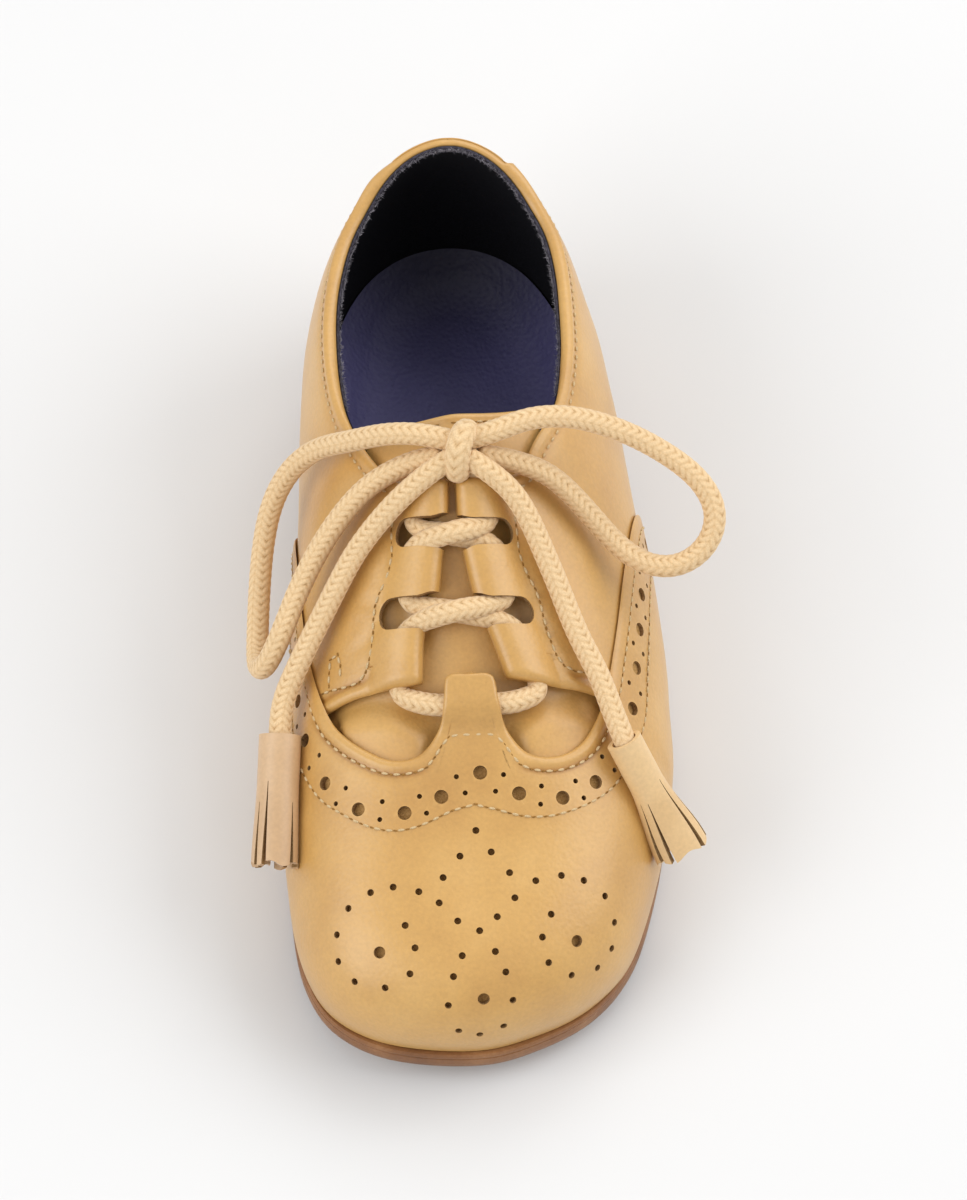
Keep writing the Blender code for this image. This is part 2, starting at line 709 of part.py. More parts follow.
def tassel(side, parent):
    """Leather tassel on a lace end: a rolled head with strips drawn out of it."""
    name = f"tassel_{SIDE_NAMES[side]}"
    shape = TASSELS[side]
    before, end = np.array(LACE_ROUTES[f"lace_end_{SIDE_NAMES[side]}"][-2:])
    axis = np.array(shape["tip"]) - end
    bend = Vector(end - before).angle(Vector(axis))
    clear = GAP + LACE_DIAMETER / 2 * np.sin(bend)
    length = np.linalg.norm(axis) - clear
    axis /= np.linalg.norm(axis)
    head = length * TASSEL_HEAD
    bm = bmesh.new()
    bmesh.ops.create_cone(bm, cap_ends=True, cap_tris=True, segments=TASSEL_STRIPS * 2,
                          radius1=shape["radius"] * MM, radius2=shape["radius"] * MM, depth=head * MM)
    bmesh.ops.translate(bm, vec=(0, 0, -head / 2 * MM), verts=bm.verts)
    low = [face for face in bm.faces if face.normal.z < DOWNWARD]
    low.sort(key=lambda face: np.arctan2(*face.calc_center_median().xy))
    pairs = [bmesh.ops.dissolve_faces(bm, faces=low[i:i + 2])["region"][0] for i in range(0, len(low), 2)]
    for strip in bmesh.ops.extrude_discrete_faces(bm, faces=pairs)["faces"]:
        middle = strip.calc_center_median()
        spread = Vector((middle.x, middle.y, 0)) * (shape["flare"] - 1) - Vector((0, 0, (length - head) * MM))
        for vert in strip.verts:
            vert.co = middle + (vert.co - middle) * STRIP_TAPER + spread
    bmesh.ops.recalc_face_normals(bm, faces=bm.faces)
    mesh = bpy.data.meshes.new(name)
    bm.to_mesh(mesh)
    bm.free()
    piece = place(name, mesh, LEATHER, parent)
    piece.location = (end + axis * clear) * MM
    piece.rotation_mode = "QUATERNION"
    piece.rotation_quaternion = Vector((0, 0, -1)).rotation_difference(Vector(axis))


def centre(frame):
    """Moves the frame so that the shoe's box is centred over the origin."""
    names = ("outsole", "heel", "upper", "vamp_wing", "back_strap")
    corners = np.array([v.co for name in names for v in bpy.data.objects[name].data.vertices])
    middle = (corners.min(0) + corners.max(0)) / 2
    frame.location = (-middle[0], -middle[1], 0.0)


def shoe():
    """Every piece, on one parent that centres the shoe over its origin."""
    frame = bpy.data.objects.new("shoe", None)
    bpy.context.scene.collection.objects.link(frame)
    panels = (outsole, heel, insole, upper, vamp_wing, back_strap, tongue)
    for build in panels + (lace_loops, lace_bars, lace_knot):
        build(frame)
    for name, route in LACE_ROUTES.items():
        cord(name, route, frame)
    for side in SIDE_NAMES:
        tassel(side, frame)
    centre(frame)


for leftover in list(bpy.data.objects):
    bpy.data.objects.remove(leftover)
shoe()
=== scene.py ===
"""Child's left brogue: leather panels, stitching, tied lace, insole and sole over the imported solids.

The shoe is built up on its last. Panels are cut flat in a pattern plane and wrapped onto it:
pattern x runs out from the last's ridge and pattern y along it, toe toward -Y. Sizes are in
millimetres on the last until a mesh is made.
"""

import bmesh
import bpy
import numpy as np
from mathutils import Matrix, Vector


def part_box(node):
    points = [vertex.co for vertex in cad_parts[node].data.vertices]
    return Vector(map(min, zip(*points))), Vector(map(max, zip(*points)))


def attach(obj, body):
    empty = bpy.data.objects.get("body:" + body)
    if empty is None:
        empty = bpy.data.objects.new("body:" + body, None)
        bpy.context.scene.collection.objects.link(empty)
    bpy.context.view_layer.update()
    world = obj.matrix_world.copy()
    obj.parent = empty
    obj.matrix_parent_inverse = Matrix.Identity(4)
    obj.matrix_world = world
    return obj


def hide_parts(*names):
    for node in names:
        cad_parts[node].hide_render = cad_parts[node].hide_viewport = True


bl_info = {
    "name": "Child's brogue",
    "version": (1, 0, 0),
    "blender": (4, 5, 0),
    "location": "3D View > Sidebar > Brogue",
    "description": "Dresses a child's left brogue: panels, stitching, lace, insole and sole",
    "category": "Object",
}

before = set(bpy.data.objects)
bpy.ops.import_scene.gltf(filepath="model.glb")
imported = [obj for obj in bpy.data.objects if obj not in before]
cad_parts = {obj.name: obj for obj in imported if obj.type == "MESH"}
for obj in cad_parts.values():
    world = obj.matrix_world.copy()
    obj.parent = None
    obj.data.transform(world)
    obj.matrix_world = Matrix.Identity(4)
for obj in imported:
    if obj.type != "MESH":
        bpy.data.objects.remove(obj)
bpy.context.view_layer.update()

MM = 0.001
MEDIAL, LATERAL = -1, 1
SIDE_NAMES = {MEDIAL: "medial", LATERAL: "lateral"}


def table(columns, *rows):
    """Named columns of a short table, the first one rising."""
    return {name: np.array(values, float) for name, values in zip(columns.split(), zip(*rows))}


# The last, as in the solids
SOLE_THICKNESS = 4.0
HEEL_HEIGHT = 6.0
TOE_SPRING = 4.6
WALL = 1.6
GAP = 0.3
INSOLE_TOP = 4.5
TOE_TIP = (0.4, -74.2)
HEEL_BACK = (0.0, 69.8)
SOLE_EDGE = table(
    "station medial lateral",
    (-72.3, 14.8, 8.4),
    (-67.2, 22.4, 17.6),
    (-58.8, 26.6, 24.2),
    (-46.0, 28.4, 28.6),
    (-32.0, 28.6, 31.2),
    (-16.0, 27.4, 31.8),
    (0.0, 25.4, 30.2),
    (16.0, 23.6, 27.0),
    (32.0, 22.4, 24.0),
    (45.4, 21.2, 21.4),
    (56.2, 18.4, 18.2),
    (63.9, 13.4, 13.2),
    (68.3, 7.2, 7.0),
)
FEATHER_INSET = table(
    "station distance",
    (-74.4, 2.3),
    (-58.0, 1.7),
    (-46.0, 1.6),
    (0.0, 2.0),
    (72.0, 2.0),
)
UNDERSIDE = table(
    "station height",
    (-74.4, TOE_SPRING),
    (-60.0, 2.3),
    (-46.0, 0.6),
    (-34.0, 0.0),
    (-12.0, 0.0),
    (4.0, 1.2),
    (22.0, 4.4),
    (36.0, HEEL_HEIGHT),
    (72.0, HEEL_HEIGHT),
)
TOE_POLE, HEEL_POLE = -50.0, 46.0
RIDGE = table(
    "station height shift",
    (-62.0, 23.2, 0.4),
    (-50.0, 27.4, 0.4),
    (-40.0, 31.2, 0.6),
    (-30.0, 35.4, 0.6),
    (-20.0, 40.0, 0.2),
    (-10.0, 44.6, -0.5),
    (0.0, 49.0, -1.0),
    (10.0, 53.2, -1.0),
    (20.0, 57.0, -0.6),
    (32.0, 61.0, 0.0),
    (46.0, 67.0, 0.0),
    (60.0, 69.0, 0.0),
)
RIB = table(
    "share over up medial lateral",
    (0.0, 2.2, 2.3, 1.6, 1.6),
    (0.2, 2.3, 2.3, 1.8, 1.8),
    (0.4, 2.3, 2.2, 4.0, 4.0),
    (0.6, 1.9, 2.1, 7.6, 6.4),
    (0.75, 1.6, 2.0, 9.0, 7.8),
    (0.88, 1.9, 2.0, 7.2, 6.6),
    (1.0, 4.4, 2.0, 5.0, 5.0),
)
BULGE_GAIN, BULGE_FADE = 1.5, 1.5
CREST_FADE = 3
FEATHER_LIFT = 0.6
SHARE_SAMPLES, GIRTH_SAMPLES = 241, 81
SAMPLE_STEP, SLOPE_STEP = 0.004, 0.5
RELAX_POINTS = 400

# Pattern of the collar and of the hidden edge of the lining under the vamp
COLLAR = table(
    "station medial lateral",
    (12.6, 16.4, 14.4),
    (21.0, 22.0, 19.6),
    (30.0, 25.0, 21.8),
    (40.0, 26.4, 23.0),
    (50.0, 26.0, 23.8),
    (58.6, 23.4, 22.8),
    (65.2, 19.0, 19.6),
    (70.4, 13.2, 13.6),
    (73.2, 7.0, 7.2),
)
COLLAR_BACK = 74.0
LINING_FRONT = ((0.0, -40.0), (11.0, -39.8), (20.5, -37.2), (27.0, -32.0), (30.5, -26.0))
LINING_SIDE = ((30.5, -26.0), (19.5, -22.4), (15.5, -16.0), (12.6, -4.0), (11.4, 5.8))

# Edge of the insole up the lining, and its shade toward heel and front
INSOLE_CUP, CUP_STATION = 4.6, (6.0, 40.0)
CUP_EDGE = table("row level height", (0, 0.75, -2.1), (1, 1.05, -2.1), (2, 1.1, -2.4), (3, 1.02, -2.9))
CUP_FLOOR = table(
    "distance level",
    (1.2, 0.68),
    (2.2, 0.47),
    (3.4, 0.3),
    (4.8, 0.16),
    (6.4, 0.06),
    (8.0, 0.0),
)
CUP_FOOT = ((0.9, GAP), (0.4, 1.2))
HEEL_SHADE, HEEL_SHADE_STATION = 0.85, (44.0, 70.0)
FRONT_SHADE, FRONT_SHADE_STATION = 0.42, (26.0, 8.0)

# Felt lining and its frayed edge inside the collar
LINING_DROP, LINING_OUTER, LINING_INNER, LINING_SHARES = 0.4, -0.02, -0.75, (0.012, 0.995)
FELT_SPAN, FELT_OUTER = 92, -0.04
FELT_EDGE = table("depth bulge", (0.1, 0.1), (0.2, 0.35), (0.5, 0.6), (0.9, 0.72), (1.3, 0.76), (1.6, 0.6))
FIBRE_COUNT, FIBRE_SEED = 2400, 21
FIBRE_THICK, FIBRE_TAPER, FIBRE_SHIFT = 0.05, 0.2, 0.3
FIBRE_ROOT, FIBRE_LEVEL, FIBRE_LENGTH = (-0.2, 0.6), (0.45, 0.8), (0.35, 0.95)
FIBRE_LEAN, FIBRE_INWARD, FIBRE_SPREAD = (0.0, 0.0, 0.7), 0.4, 0.5

# Pattern of the wing's edge: tab and scallop alike on both sides, then each side's own line
WING_TAB = ((0.0, -23.3), (2.7, -23.3), (3.6, -23.8), (3.9, -25.0), (4.2, -27.4))
WING_SCALLOP = ((5.2, -31.0), (8.4, -34.6), (12.6, -35.0), (16.8, -33.0))
WING_SIDE = table(
    "station medial lateral",
    (-29.0, 21.6, 20.0),
    (-24.0, 25.0, 22.6),
    (-16.0, 29.0, 25.8),
    (-6.0, 33.0, 29.6),
    (2.0, 36.5, 33.4),
    (9.0, 42.0, 38.6),
    (14.0, 50.0, 47.0),
)
WING_END = 0.615
TAB_ROOT, TAB_RISEN, TAB_LIFT = -32.0, -27.0, 2.0
TAB_HALF, TAB_CORE = 7.6, 4.2
BAND_SHADE, BAND_REACH = 0.32, 4.6

# Wing's leather: pared thin up its sides, with a narrow plain rim round the tab, whose top turns under
PARED_STATION, PARED_OUT = (-31.0, -18.0), (15.0, 22.0)
PARED_GAP, PARED_LEATHER = 0.6, 0.5
NARROW_OUT, NARROWING = (8.8, 4.6), 0.62
PLAIN_OUT, PLAIN_STATION, PLAIN_SIDE = (10.6, 6.6), (-30.0, -22.0), 12.0
TUCK_STATION, TUCK_HALF, TUCK_ROWS, TUCK_DEPTH = (-24.6, -23.6), 4.0, 4, 2.4
TAB_PINCH, PINCH_SHARE, PINCH_STATION, PINCH_HALF = 0.72, 0.08, (-31.0, -23.0), 6.0
BACKING_INSET, BACKING_TOP, BACKING_FLOOR, BACKING_ROWS = 3.0, -0.08, -0.7, 40
OUTSIDE_LEVEL = 0.1

# Pattern of the quarters: lower edge, fold line of the lace loops and top edge before the collar
QUARTER_LOW = ((27.0, -25.8), (20.0, -24.9), (13.0, -24.7))
LOOP_FOLDS = {
    MEDIAL: ((-7.2, -24.4), (-6.1, -17.0), (-3.6, -12.4), (-2.3, -6.4), (-1.2, -2.1), (-0.8, 4.3)),
    LATERAL: ((5.7, -24.0), (3.6, -17.6), (1.9, -13.0), (0.8, -6.6), (0.3, -2.2), (0.1, 4.0)),
}
QUARTER_TOP = ((5.5, 5.2), (10.4, 6.4))
LOW_CORNER, TOP_CORNER = (1.4, -0.2), (1.2, 0.8)
QUARTER_SHARES, SHARE_BLUR = (0.41, 0.46, 0.546), 6
FOLD_LOW, FOLD_TOP, FOLD_END = (17.6, 14.6), (10.0, 7.0), 0.8
LOOP_RISE, LOOP_REACH, LOOP_START = 2.5, 9.0, 0.3
LOOP_FRONT, LOOP_BACK = (-26.4, -24.8), (6.8, 4.8)
LEATHER, SKIN_RISE = 1.1, 0.9

# Lace slots between the loops: outer end, inner end and half breadth
SLOTS = {
    MEDIAL: (((-7.6, -2.6), (2.0, -3.4), 2.1), ((-11.2, -13.9), (-2.0, -14.6), 2.3)),
    LATERAL: (((7.0, -3.0), (-3.0, -3.6), 1.95), ((9.2, -14.2), (0.0, -14.7), 2.0)),
}
SLOT_ROUND, SLOT_MOUTH, SLOT_FLARE, SLOT_DEPTH = 13, 0.6, 2.4, 6.0

# Pattern of the tongue
TONGUE = table(
    "station breadth",
    (-39.5, 20.0),
    (-34.0, 27.0),
    (-27.0, 29.5),
    (-22.0, 27.0),
    (-18.0, 20.0),
    (-4.0, 17.8),
    (9.0, 18.8),
    (12.0, 18.8),
    (13.8, 18.2),
    (14.4, 17.2),
)
TONGUE_SWEEP, TONGUE_SWEEP_REACH = {MEDIAL: 2.3, LATERAL: 3.4}, 15.0
TONGUE_SHIFT, TONGUE_LEAN = -1.4, (-2.0, 13.0)
TONGUE_DROP, TONGUE_THICKNESS = -2.2, 1.4
TONGUE_SHARES, TONGUE_ACROSS = (0.006, 0.994), (-0.97, 0.97)
MIDDLE_RISE, MIDDLE_HALF, MIDDLE_STATION = 0.4, 5.0, (-30.0, -24.0)
HOLLOW_DEPTH, HOLLOW_OUT, HOLLOW_HALF = 1.3, 9.5, 3.2
HOLLOW_FRONT, HOLLOW_BACK = (-21.0, -16.0), (4.0, -1.0)
TONGUE_ROLL = table("distance rise half", (0.5, 0.2, 0.4), (1.4, -0.12, 0.4))
TONGUE_SEAM, TONGUE_SEAM_DROP, TONGUE_SEAM_POINTS = (1.6, 16.4), 1.4, 9
WINDOW = table(
    "out low high",
    (0.0, -25.0, -29.6),
    (4.2, -27.4, -29.4),
    (5.2, -31.0, -29.3),
    (8.4, -34.6, -29.0),
    (12.6, -35.0, -27.0),
    (16.8, -33.0, -26.4),
    (20.8, -29.0, -26.2),
    (24.0, -24.0, -26.6),
)
WINDOW_SWELL, SWELL_BELOW = 2.15, 0.5
SWELL_OUT, SWELL_LOW, SWELL_HIGH = (4.4, 9.4), (-3.4, -2.0), (1.4, -3.8)

# Back strap: first rib, heights toward its edge and rows of stitches at distances from it
STRAP_START, STRAP_DROP, STRAP_GAP, STRAP_SHARES = 0.932, 0.5, 0.02, (0.008, 0.995)
STRAP_RISE, STRAP_RIM, STRAP_LEAST = 0.35, 0.5, 0.1
STRAP_ROLL = table("distance rise half", (0.7, 0.1, 0.4), (1.7, -0.12, 0.4))
# Painted shade in the groove along the strap's edge, where its first row of stitches runs
STRAP_SHADE, STRAP_SEAMS, STRAP_SEAM_ROWS, STRAP_THREAD = 0.6, (1.7, 3.1), slice(2, -2, 4), 0.32

# Padding of the folded collar, and between which distances from the middle it starts on each side
COLLAR_PAD, COLLAR_PAD_REACH, COLLAR_PAD_STATION = 0.8, 14.0, (16.0, 32.0)
COLLAR_STEP = {MEDIAL: (10.5, 17.5), LATERAL: (12.6, 13.5)}

# Creases: two ends as pattern points, depth and half breadth
QUARTER_CREASES = (
    ((-13.6, -12.6), (-18.8, -9.6), 0.16, 0.9),
    ((-13.6, -15.6), (-19.0, -18.2), 0.14, 0.9),
    ((-9.8, -1.6), (-14.8, 1.8), 0.14, 0.8),
    ((11.4, -12.8), (16.6, -10.2), 0.16, 0.9),
    ((11.4, -15.4), (16.2, -18.4), 0.14, 0.9),
    ((9.2, -2.0), (13.8, 1.4), 0.14, 0.8),
    ((-27.0, 1.0), (-35.0, 5.0), 0.12, 1.5),
    ((25.0, 1.0), (33.0, 5.5), 0.12, 1.5),
)
WING_CREASES = (
    ((-29.0, -37.5), (-37.0, -45.0), 0.12, 1.5),
    ((-32.0, -31.5), (-41.0, -37.0), 0.1, 1.4),
    ((27.5, -35.5), (35.5, -43.0), 0.12, 1.5),
    ((30.5, -29.5), (39.5, -35.0), 0.1, 1.4),
    ((-3.4, -30.4), (3.4, -30.4), 0.14, 0.8),
)
CREASE_END, CREASE_RIDGE, RIDGE_AWAY = 0.12, 0.45, 1.9

# Unevenness of the leather: height, lengths of the waves and of a finer ripple
WAVES, WAVE_X, WAVE_Y, WAVE_BEND, BEND_Y = 0.05, 4.3, 5.2, 0.9, 6.1
RIPPLE, RIPPLE_X, RIPPLE_Y = 0.6, 7.7, 3.1

# Edge of a panel: inset of a rolled edge, inset of a fold, and height in shares of the thickness
RIM = table(
    "row inset fold height",
    (0, 1.2, 1.9, 0.0),
    (1, 0.45, 1.1, 0.0),
    (2, 0.12, 0.5, 0.14),
    (3, 0.0, 0.0, 0.45),
    (4, 0.1, 0.25, 0.78),
    (5, 0.35, 0.75, 0.95),
    (6, 0.75, 1.4, 1.16),
    (7, 1.15, 1.9, 1.12),
    (8, 1.55, 2.3, 0.98),
    (9, 1.9, 2.6, 0.88),
    (10, 2.25, 2.9, 0.86),
    (11, 2.8, 3.3, 0.94),
    (12, 3.6, 3.9, 1.0),
)
RIM_CROWN, RIM_STITCH, RIM_GROOVE, UNDER_FADE = 6, 2.15, 0.5, 0.1
# Strength of the painted shade in the stitched groove: on the wing and along the quarters' lower edge and
# loops, and along the collar
SEAM_SHADE, COLLAR_SHADE = 0.8, 0.3

# Brogue holes on the wing as pattern points: large holes of the band, then the medallion's half
BAND = {
    MEDIAL: ((-5.2, -40.8), (-10.9, -43.0), (-18.1, -41.7), (-23.9, -36.6), (-28.4, -28.8), (-31.8, -21.6),
             (-34.6, -14.6), (-37.4, -7.8), (-40.6, -1.2), (-45.0, 4.8)),
    LATERAL: ((6.9, -40.6), (13.6, -41.1), (19.1, -38.2), (23.9, -31.9), (27.4, -25.7), (30.1, -18.8),
              (32.4, -12.2), (34.8, -5.8), (38.0, 0.6), (42.6, 6.2)),
}
BAND_CENTRE = (1.0, -37.4)
BAND_PAIR = 1.35
MEDALLION_MIDDLE = ((0.0, -45.8), (0.0, -61.3), (-0.2, -77.1))
MEDALLION_BIG = (0.0, -71.1)
MEDALLION_HALF = ((2.55, -48.9), (5.3, -52.2), (6.0, -56.1), (3.15, -59.0), (2.6, -64.2), (4.1, -67.1),
                  (5.2, -71.1), (3.9, -75.4))
MEDALLION_RING = ((9.7, -53.6), (13.6, -52.7), (17.1, -53.2), (20.7, -55.1), (22.8, -58.7), (22.9, -62.6),
                  (20.5, -65.8), (15.6, -67.2), (11.5, -65.6), (10.5, -62.0), (11.9, -58.6))
MEDALLION_RING_BIG = (16.0, -62.2)
MEDALLION_BIG_SHARE = 0.85
MEDALLION_DRIFT = {MEDIAL: (0.0, -0.7), LATERAL: (0.0, -0.2)}
RING_DRIFT = {MEDIAL: (0.6, -1.4), LATERAL: (-0.5, -0.1)}

# Stitch lines as pattern points
LOWER_STITCH = {
    MEDIAL: (
        (0.0, -42.0), (-3.4, -42.8), (-8.6, -45.0), (-11.8, -45.6), (-14.8, -45.2), (-17.8, -43.9),
        (-21.0, -41.8), (-24.6, -39.1), (-29.2, -33.2), (-32.6, -26.6), (-36.2, -17.6), (-40.2, -7.8),
        (-44.6, 0.0), (-51.0, 6.0),
    ),
    LATERAL: (
        (0.0, -42.0), (3.6, -42.9), (6.6, -43.8), (9.6, -44.1), (12.6, -43.7), (15.4, -42.7), (18.2, -41.3),
        (22.4, -38.2), (28.6, -29.3), (31.0, -24.6), (33.2, -18.3), (35.4, -11.7), (38.4, -4.4), (42.0, 1.2),
        (47.6, 6.4),
    ),
}
QUARTER_STITCH = {
    MEDIAL: (
        (-25.6, -22.3), (-17.4, -22.4), (-16.2, -20.6), (-14.9, -17.2), (-14.6, -14.4), (-13.9, -11.4),
        (-11.6, -8.2), (-10.4, -5.2), (-10.6, -1.8), (-9.8, 1.6), (-8.0, 3.6),
    ),
    LATERAL: (
        (23.0, -21.6), (16.6, -21.9), (14.8, -20.8), (13.5, -17.8), (12.7, -14.4), (12.2, -11.6),
        (10.6, -8.4), (9.7, -5.6), (9.7, -2.4), (9.0, 1.2), (7.4, 3.4),
    ),
}
BAR_TACK = ((-24.0, -21.6), (-23.6, -17.8), (-22.6, -17.0), (-21.5, -17.8), (-21.5, -21.2))
STITCH_SHARE = 0.56
# Needle holes are flat dark discs of painted shade: their length, depth and share of the thread's breadth
NEEDLE_HOLE, NEEDLE_DEPTH, NEEDLE_BREADTH = 0.7, 0.06, 0.7

# Heights of thread over the leather, and where the wing's and the collar's rows start
UPPER_THREAD, LOWER_THREAD, QUARTER_THREAD, COLLAR_THREAD = 0.03, 0.06, 0.08, -0.1
ROOT_SEAM, WING_SEAM_START, WING_SEAM_SKIP, WING_SEAM_LEFT, WING_SEAM_STEP = 3.4, 0.4, 14, 8, 6
COLLAR_SEAM_START, COLLAR_SEAM_LEFT, COLLAR_SEAM_STEP = 0.02, 2, 5

# The tied lace: routes on the last, and the run through tab and loops as pattern points with heights
KNOT_WRAP = (
    (1.0, 8.8, 53.4), (1.3, 9.7, 55.4), (1.0, 9.1, 57.5), (0.4, 7.5, 58.7), (-0.2, 5.7, 58.3),
    (-0.5, 4.4, 56.7), (-0.5, 4.0, 54.7), (-0.3, 4.8, 53.0),
)
KNOT_GIRTH = 1.15
BOWS = {
    LATERAL: (
        (0.6, 8.0, 56.6), (5.7, 9.1, 57.4), (10.5, 10.6, 58.2), (16.6, 11.0, 58.0), (24.4, 9.8, 55.8),
        (32.0, 7.1, 52.4), (37.4, 3.4, 49.6), (39.6, -0.6, 46.6), (37.9, -4.6, 43.4), (33.2, -6.8, 41.4),
        (28.0, -5.4, 40.6), (23.6, -1.8, 41.4), (19.0, 2.2, 45.4), (13.7, 5.6, 49.8), (6.6, 6.9, 52.8),
        (2.4, 6.8, 54.2),
    ),
    MEDIAL: (
        (-0.6, 8.0, 56.4), (-5.6, 9.2, 56.8), (-10.4, 10.4, 55.4), (-16.8, 12.2, 50.6), (-22.6, 14.3, 44.6),
        (-26.8, 13.8, 39.0), (-29.6, 10.8, 34.4), (-31.1, 6.2, 30.4), (-31.9, 0.6, 27.0), (-32.4, -5.6, 24.2),
        (-32.6, -10.6, 23.6), (-32.2, -14.4, 26.0), (-30.6, -15.2, 30.4), (-28.4, -12.4, 34.6),
        (-25.2, -6.2, 38.4), (-20.4, 0.2, 43.6), (-14.0, 5.0, 49.2), (-6.8, 6.9, 52.8), (-2.4, 6.8, 54.2),
    ),
}
ENDS = {
    LATERAL: (
        (0.8, 5.6, 55.9), (3.6, 3.9, 55.2), (8.4, 0.6, 52.0), (13.4, -8.2, 45.4), (17.4, -17.6, 40.2),
        (20.6, -23.8, 37.4), (22.7, -29.6, 35.0), (24.6, -34.2, 33.0),
    ),
    MEDIAL: (
        (-1.0, 5.6, 55.9), (-4.0, 4.0, 55.0), (-10.0, 0.6, 51.2), (-16.4, -4.2, 44.8), (-19.6, -8.4, 41.2),
        (-22.8, -12.8, 37.0), (-26.0, -17.6, 33.2), (-28.8, -22.8, 29.4), (-29.3, -28.6, 27.1),
    ),
}
CORD_EASE = 5.0
LACE_RUN = table(
    "x station over under girth",
    (0.0, -27.7, 1.0, 1.0, 0.9),
    (4.8, -27.5, 0.6, 0.6, 1.0),
    (8.0, -26.9, 0.3, 0.3, 1.0),
    (10.6, -25.6, -0.4, -0.4, 0.9),
    (11.2, -23.0, -0.7, -0.7, 0.75),
    (10.4, -19.4, -0.7, -0.7, 0.75),
    (8.8, -16.8, -0.5, -0.7, 0.85),
    (5.6, -15.5, 0.8, -0.4, 1.0),
    (0.6, -14.5, 2.4, -0.4, 1.0),
    (-4.6, -13.6, 0.8, -0.4, 1.0),
    (-7.6, -12.4, -0.5, -0.7, 0.85),
    (-8.2, -9.6, -0.7, -0.7, 0.75),
    (-7.2, -6.0, -0.7, -0.5, 0.85),
    (-4.8, -4.4, -0.4, 0.7, 1.0),
    (0.4, -3.3, -0.4, 2.4, 1.0),
    (4.6, -2.3, -0.4, 0.7, 1.0),
    (6.2, -0.8, -0.6, -0.5, 0.85),
    (5.6, 2.4, -0.6, -0.6, 0.75),
    (3.8, 5.4, 0.8, 0.8, 0.9),
    (2.2, 7.0, 2.4, 2.4, 1.0),
)
LACE_AXIS, LACE_AXIS_STATION, GIRTH_SCALE = -0.7, (-27.0, -19.0), 4.0

# Braid: columns round the cord, strands that lean and dive in turn, and rounded ends
BRAID_COLUMNS, BRAID_PITCH, BRAID_RELIEF, BRAID_SWELL = 8, 1.3, 0.13, 1.5
STRAND_LEAN, STRAND_ROUND = 0.9, 0.6
DIVE_DEPTH, DIVE_HALF, CREVICE_DEPTH, CREVICE_HALF = 0.42, 0.3, 0.2, 0.12
CORD_END_LENGTH, CORD_END_LEAST, ROUNDING = 0.8, 0.15, 1e-6

# Tassels: tones, darker on the inner side as painted shade and lighter on the outer side as painted light,
# tips and shares of girth, then the slits in a unit roll that is stretched to its length
TASSEL_LIT_AND_SHADED_TONES = {MEDIAL: ("#b18c62", "#c6a279", "#d4b28a"), LATERAL: ("#c7a06a", "#dcb884", "#e6c796")}
TASSELS = {
    MEDIAL: {"tip": (-30.6, -46.0, 20.4), "breadth": 3.3, "depth": 3.1, "flare": 1.12, "fan": 1.05},
    LATERAL: {"tip": (32.8, -44.4, 18.2), "breadth": 2.8, "depth": 2.2, "flare": 1.6, "fan": 1.2},
}
TASSEL_GRIP, TASSEL_BORE, TASSEL_FLARE, TASSEL_RAGGED = 1.6, 0.72, (0.35, 1.0), (0.6, 1.0)
TASSEL_FACING = (0.0, -0.5, 0.87)
ROLL_LENGTH, ROLL_WELD = 10.0, 0.0001
SLITS, SLIT_TOP, SLIT_END, SLIT_OUT, SLIT_DEPTH = 7, 4.6, 12.0, 0.95, 1.2
SLIT_BREADTH, SLIT_OPENING, SLIT_TURN = 0.03, 8.0, 0.5
SLIT_SCATTER, SLIT_SCATTER_RATE, SLIT_UNEVEN, SLIT_UNEVEN_RATE = 0.35, 3.0, 0.9, 2.4
RAGGED, RAGGED_WAVES = 0.02, 5


def read(rows, column, x):
    """Smooth value of a table's column at x: a monotone cubic through its rows."""
    xs, ys = next(iter(rows.values())), rows[column]
    width = np.diff(xs)
    rise = np.diff(ys) / width
    slope = np.zeros_like(ys)
    same = rise[:-1] * rise[1:] > 0
    slope[1:-1][same] = 2 * rise[:-1][same] * rise[1:][same] / (rise[:-1][same] + rise[1:][same])
    x = np.clip(x, xs[0], xs[-1])
    i = np.clip(np.searchsorted(xs, x, side="right") - 1, 0, len(width) - 1)
    u = (x - xs[i]) / width[i]
    ends = (1 + 2 * u) * (1 - u) ** 2 * ys[i] + u * u * (3 - 2 * u) * ys[i + 1]
    return ends + width[i] * (u * (1 - u) ** 2 * slope[i] + u * u * (u - 1) * slope[i + 1])


def round_curve(points, closed=False, steps=16):
    """Smooth curve through points: a centripetal Catmull-Rom spline."""
    p = np.array(points, float)
    p = np.vstack([p[-1:], p, p[:2]] if closed else [2 * p[0] - p[1], p, 2 * p[-1] - p[-2]])
    spans = []
    for p0, p1, p2, p3 in zip(p[:-3], p[1:-2], p[2:-1], p[3:]):
        k = np.cumsum([0.0] + [np.linalg.norm(b - a) ** 0.5 for a, b in ((p0, p1), (p1, p2), (p2, p3))])
        t = np.linspace(k[1], k[2], steps, endpoint=False)[:, None]
        a1 = ((k[1] - t) * p0 + (t - k[0]) * p1) / (k[1] - k[0])
        a2 = ((k[2] - t) * p1 + (t - k[1]) * p2) / (k[2] - k[1])
        a3 = ((k[3] - t) * p2 + (t - k[2]) * p3) / (k[3] - k[2])
        b1 = ((k[2] - t) * a1 + (t - k[0]) * a2) / (k[2] - k[0])
        b2 = ((k[3] - t) * a2 + (t - k[1]) * a3) / (k[3] - k[1])
        spans.append(((k[2] - t) * b1 + (t - k[1]) * b2) / (k[2] - k[1]))
    curve = np.vstack(spans)
    return curve if closed else np.vstack([curve, p[-2:-1]])


